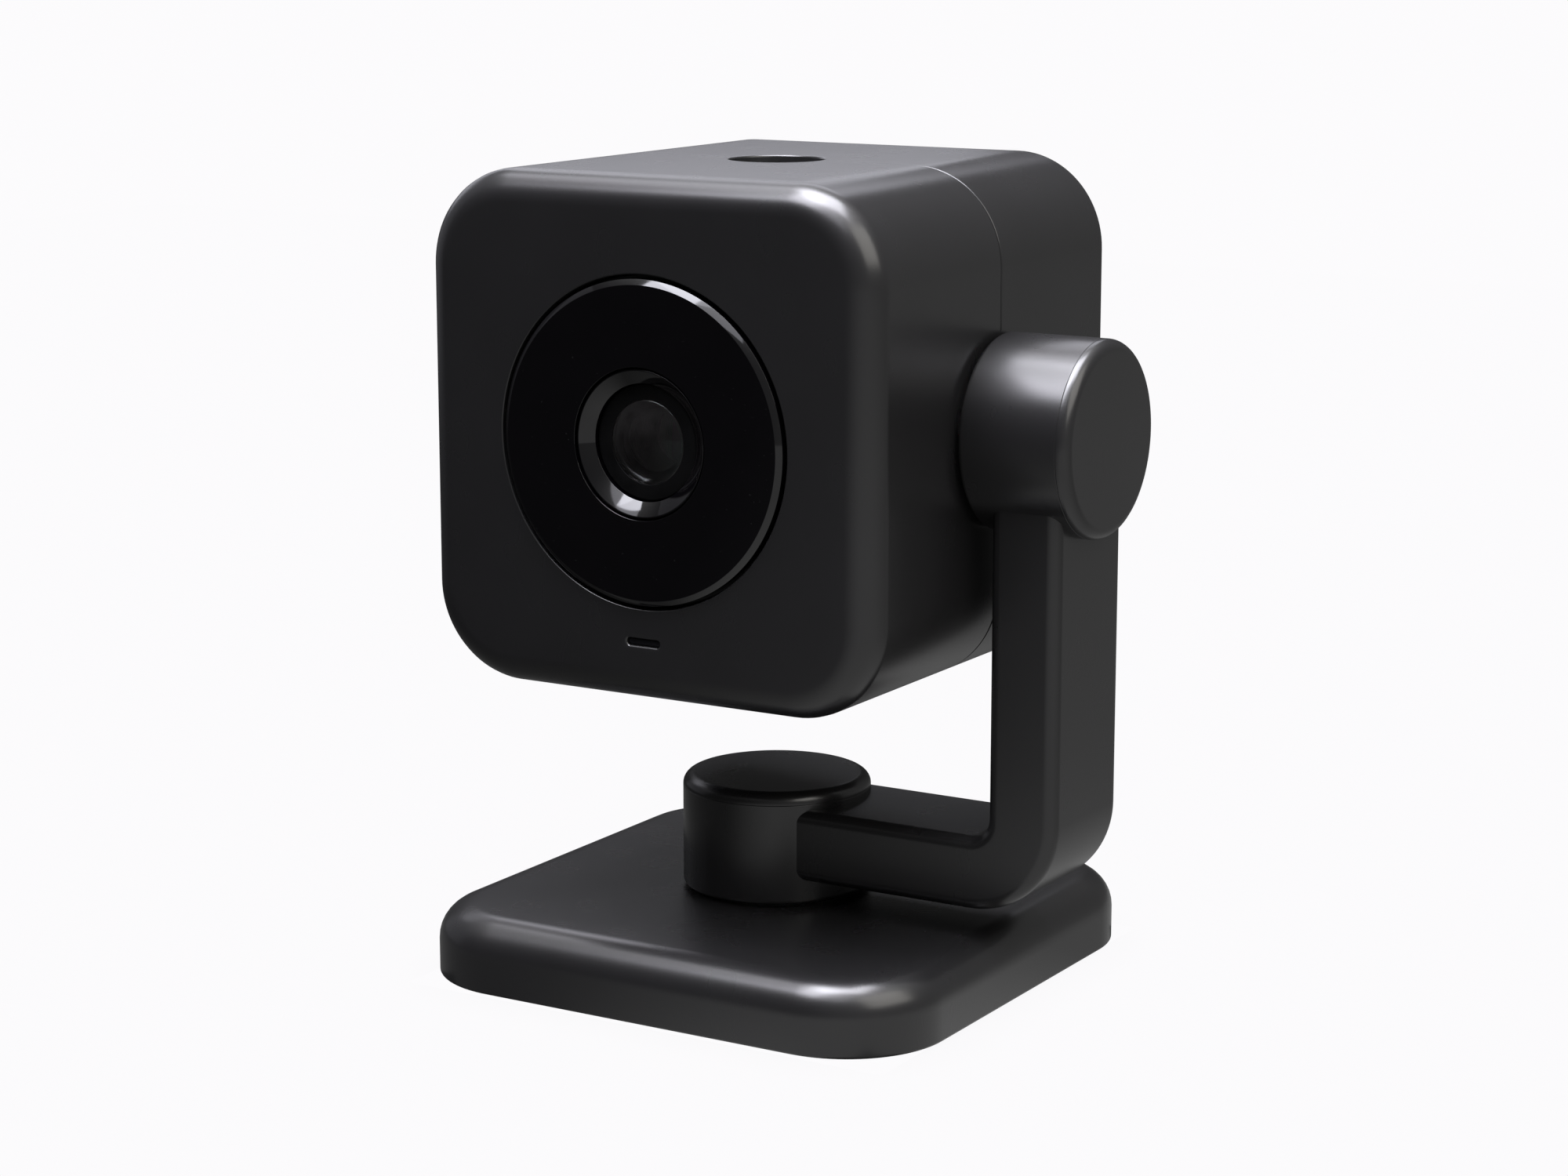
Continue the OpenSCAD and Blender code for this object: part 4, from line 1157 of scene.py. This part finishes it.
PAPER_WHITE = (0.973, 0.965, 0.978, 1)
GLOW = 0.04             # radiance of the sheet as light from below, far away
GLOW_NEAR = 0.12        # what it adds close to the base
GLOW_RIGHT = 0.24       # what it adds on the right
GLOW_FRONT_RIGHT = 0.36 # and at the front right
DOME_LOW = 0.05         # radiance of the room at the horizon and below
DOME_RIGHT = 0.28       # what it adds on the right
DOME_HIGH = 3.5         # and straight overhead
DOME_POWER = 6.0        # how tightly that is gathered round the zenith
COOL = (0.955, 0.955, 1.05)
WARM = (1.03, 1.0, 0.94)


def softbox(name, direction, distance_mm, width_mm, height_mm, radiance, colour, target=(0, 0, 50)):
    """Rectangular area light that faces a target, seen in reflections but not by the camera."""
    data = bpy.data.lights.new(name, "AREA")
    data.shape = "RECTANGLE"
    data.size, data.size_y = width_mm * MM, height_mm * MM
    data.energy = radiance * math.pi * data.size * data.size_y
    data.color = colour
    made = bpy.data.objects.new(name, data)
    direction = Vector(direction).normalized()
    made.location = (Vector(target) + direction * distance_mm) * MM
    made.rotation_mode = "QUATERNION"
    made.rotation_quaternion = direction.to_track_quat("Z", "Y")
    made.visible_camera = False
    bpy.context.scene.collection.objects.link(made)


def floor():
    """Pale sheet on the table. The camera sees it as plain paper with a faint contact shadow."""
    material, tree = new_tree("paper")
    coords = add(tree, "TexCoord").outputs["Object"]
    apart = add(tree, "SeparateXYZ", Vector=coords)
    fibre = noise(tree, 0.6, detail=4.0)
    distance = add(tree, "VectorMath", {"operation": "LENGTH"})
    tree.links.new(coords, distance.inputs[0])
    near = ramp(tree, distance.outputs["Value"], 0.06, 0.14, GLOW_NEAR, 0.0)
    away = distance.outputs["Value"]
    right = ramp(tree, calc(tree, "DIVIDE", apart.outputs["X"], away), -0.3, 0.5, 0.0, GLOW_RIGHT)
    corner = calc(tree, "SUBTRACT", apart.outputs["X"], apart.outputs["Y"])
    corner = ramp(tree, calc(tree, "DIVIDE", corner, away), 0.4, 1.3, 0.0, GLOW_FRONT_RIGHT)
    lit = calc(tree, "ADD", right, corner)
    shade = ramp(tree, add(tree, "AmbientOcclusion", {"samples": 8}, Distance=0.006).outputs["AO"],
                 0.0, 1.0, 0.97, 1.0)
    paper = blend(tree, fibre, PAPER_WHITE, (0.968, 0.961, 0.973, 1))
    seen = add(tree, "Emission", Color=paper, Strength=shade).outputs[0]
    glow = add(tree, "Emission", Color=(1, 1, 1, 1),
               Strength=calc(tree, "ADD", calc(tree, "ADD", near, lit), GLOW)).outputs[0]
    camera_ray = add(tree, "LightPath").outputs["Is Camera Ray"]
    top_side = add(tree, "MixShader", Fac=camera_ray)
    tree.links.new(glow, top_side.inputs[1])
    tree.links.new(seen, top_side.inputs[2])
    # Clear from below, and clear under the base, so that the underside is lit and can be looked at
    sides = [calc(tree, "ABSOLUTE", apart.outputs[axis]) for axis in ("X", "Y")]
    span = calc(tree, "MAXIMUM", *sides)
    under = calc(tree, "LESS_THAN", span, (base_half_y - 0.5) * MM)
    behind = add(tree, "NewGeometry").outputs["Backfacing"]
    clear = add(tree, "MixShader", Fac=calc(tree, "MAXIMUM", under, behind))
    tree.links.new(top_side.outputs[0], clear.inputs[1])
    tree.links.new(add(tree, "BsdfTransparent").outputs[0], clear.inputs[2])
    target = tree.nodes.new("ShaderNodeOutputMaterial")
    tree.links.new(clear.outputs[0], target.inputs["Surface"])
    half = 0.7
    mesh = bpy.data.meshes.new("floor")
    square = [(-half, -half, 0), (half, -half, 0), (half, half, 0), (-half, half, 0)]
    mesh.from_pydata(square, [], [(0, 1, 2, 3)])
    mesh.materials.append(material)
    made = bpy.data.objects.new("floor", mesh)
    made.location = (base_mid.x * MM, base_mid.y * MM, -0.00005)
    bpy.context.scene.collection.objects.link(made)


def world():
    """White to the camera. In reflections and as light, a dim grey studio."""
    made = bpy.data.worlds.new("studio")
    made.use_nodes = True
    tree = made.node_tree
    tree.nodes.clear()
    white = add(tree, "Background", Color=PAPER_WHITE, Strength=1.0).outputs[0]
    direction = add(tree, "TexCoord").outputs["Generated"]
    apart = add(tree, "SeparateXYZ", Vector=direction)
    dome = calc(tree, "POWER", calc(tree, "MAXIMUM", apart.outputs["Z"], 0.0), DOME_POWER)
    side = ramp(tree, apart.outputs["X"], -0.2, 0.8, DOME_LOW, DOME_LOW + DOME_RIGHT)
    strength = calc(tree, "ADD", calc(tree, "MULTIPLY", dome, DOME_HIGH), side)
    room = add(tree, "Background", Color=(1, 1, 1, 1), Strength=strength).outputs[0]
    mixed = add(tree, "MixShader", Fac=add(tree, "LightPath").outputs["Is Camera Ray"])
    tree.links.new(room, mixed.inputs[1])
    tree.links.new(white, mixed.inputs[2])
    target = tree.nodes.new("ShaderNodeOutputWorld")
    tree.links.new(mixed.outputs[0], target.inputs["Surface"])
    bpy.context.scene.world = made


def studio():
    """Softboxes, each with its direction, distance, width, height, radiance and colour."""
    bpy.context.scene.view_settings.view_transform = "Standard"
    bpy.context.scene.view_settings.look = "None"
    softbox("key_front", (-0.24, -0.45, 1.0), 480, 210, 260, 11.5, COOL)
    softbox("key_top", (0.02, -0.05, 1.0), 450, 290, 290, 17.5, COOL)
    softbox("skirt_front", (-0.07, -0.66, 1.0), 540, 500, 200, 2.8, COOL)
    softbox("skirt_back", (-0.24, -0.14, 1.0), 490, 560, 290, 3.2, COOL)
    softbox("right_side", toward(80, 38), 500, 420, 320, 3.2, WARM)
    softbox("back_left", toward(-150, 42), 500, 300, 200, 2.2, COOL)
    softbox("left_low", toward(-90, 16), 500, 420, 400, 0.2, COOL)
    softbox("behind_top", toward(-128, 0), 215, 250, 70, 1.1, COOL, target=(0, 0, 158))


camera()
floor()
world()
studio()
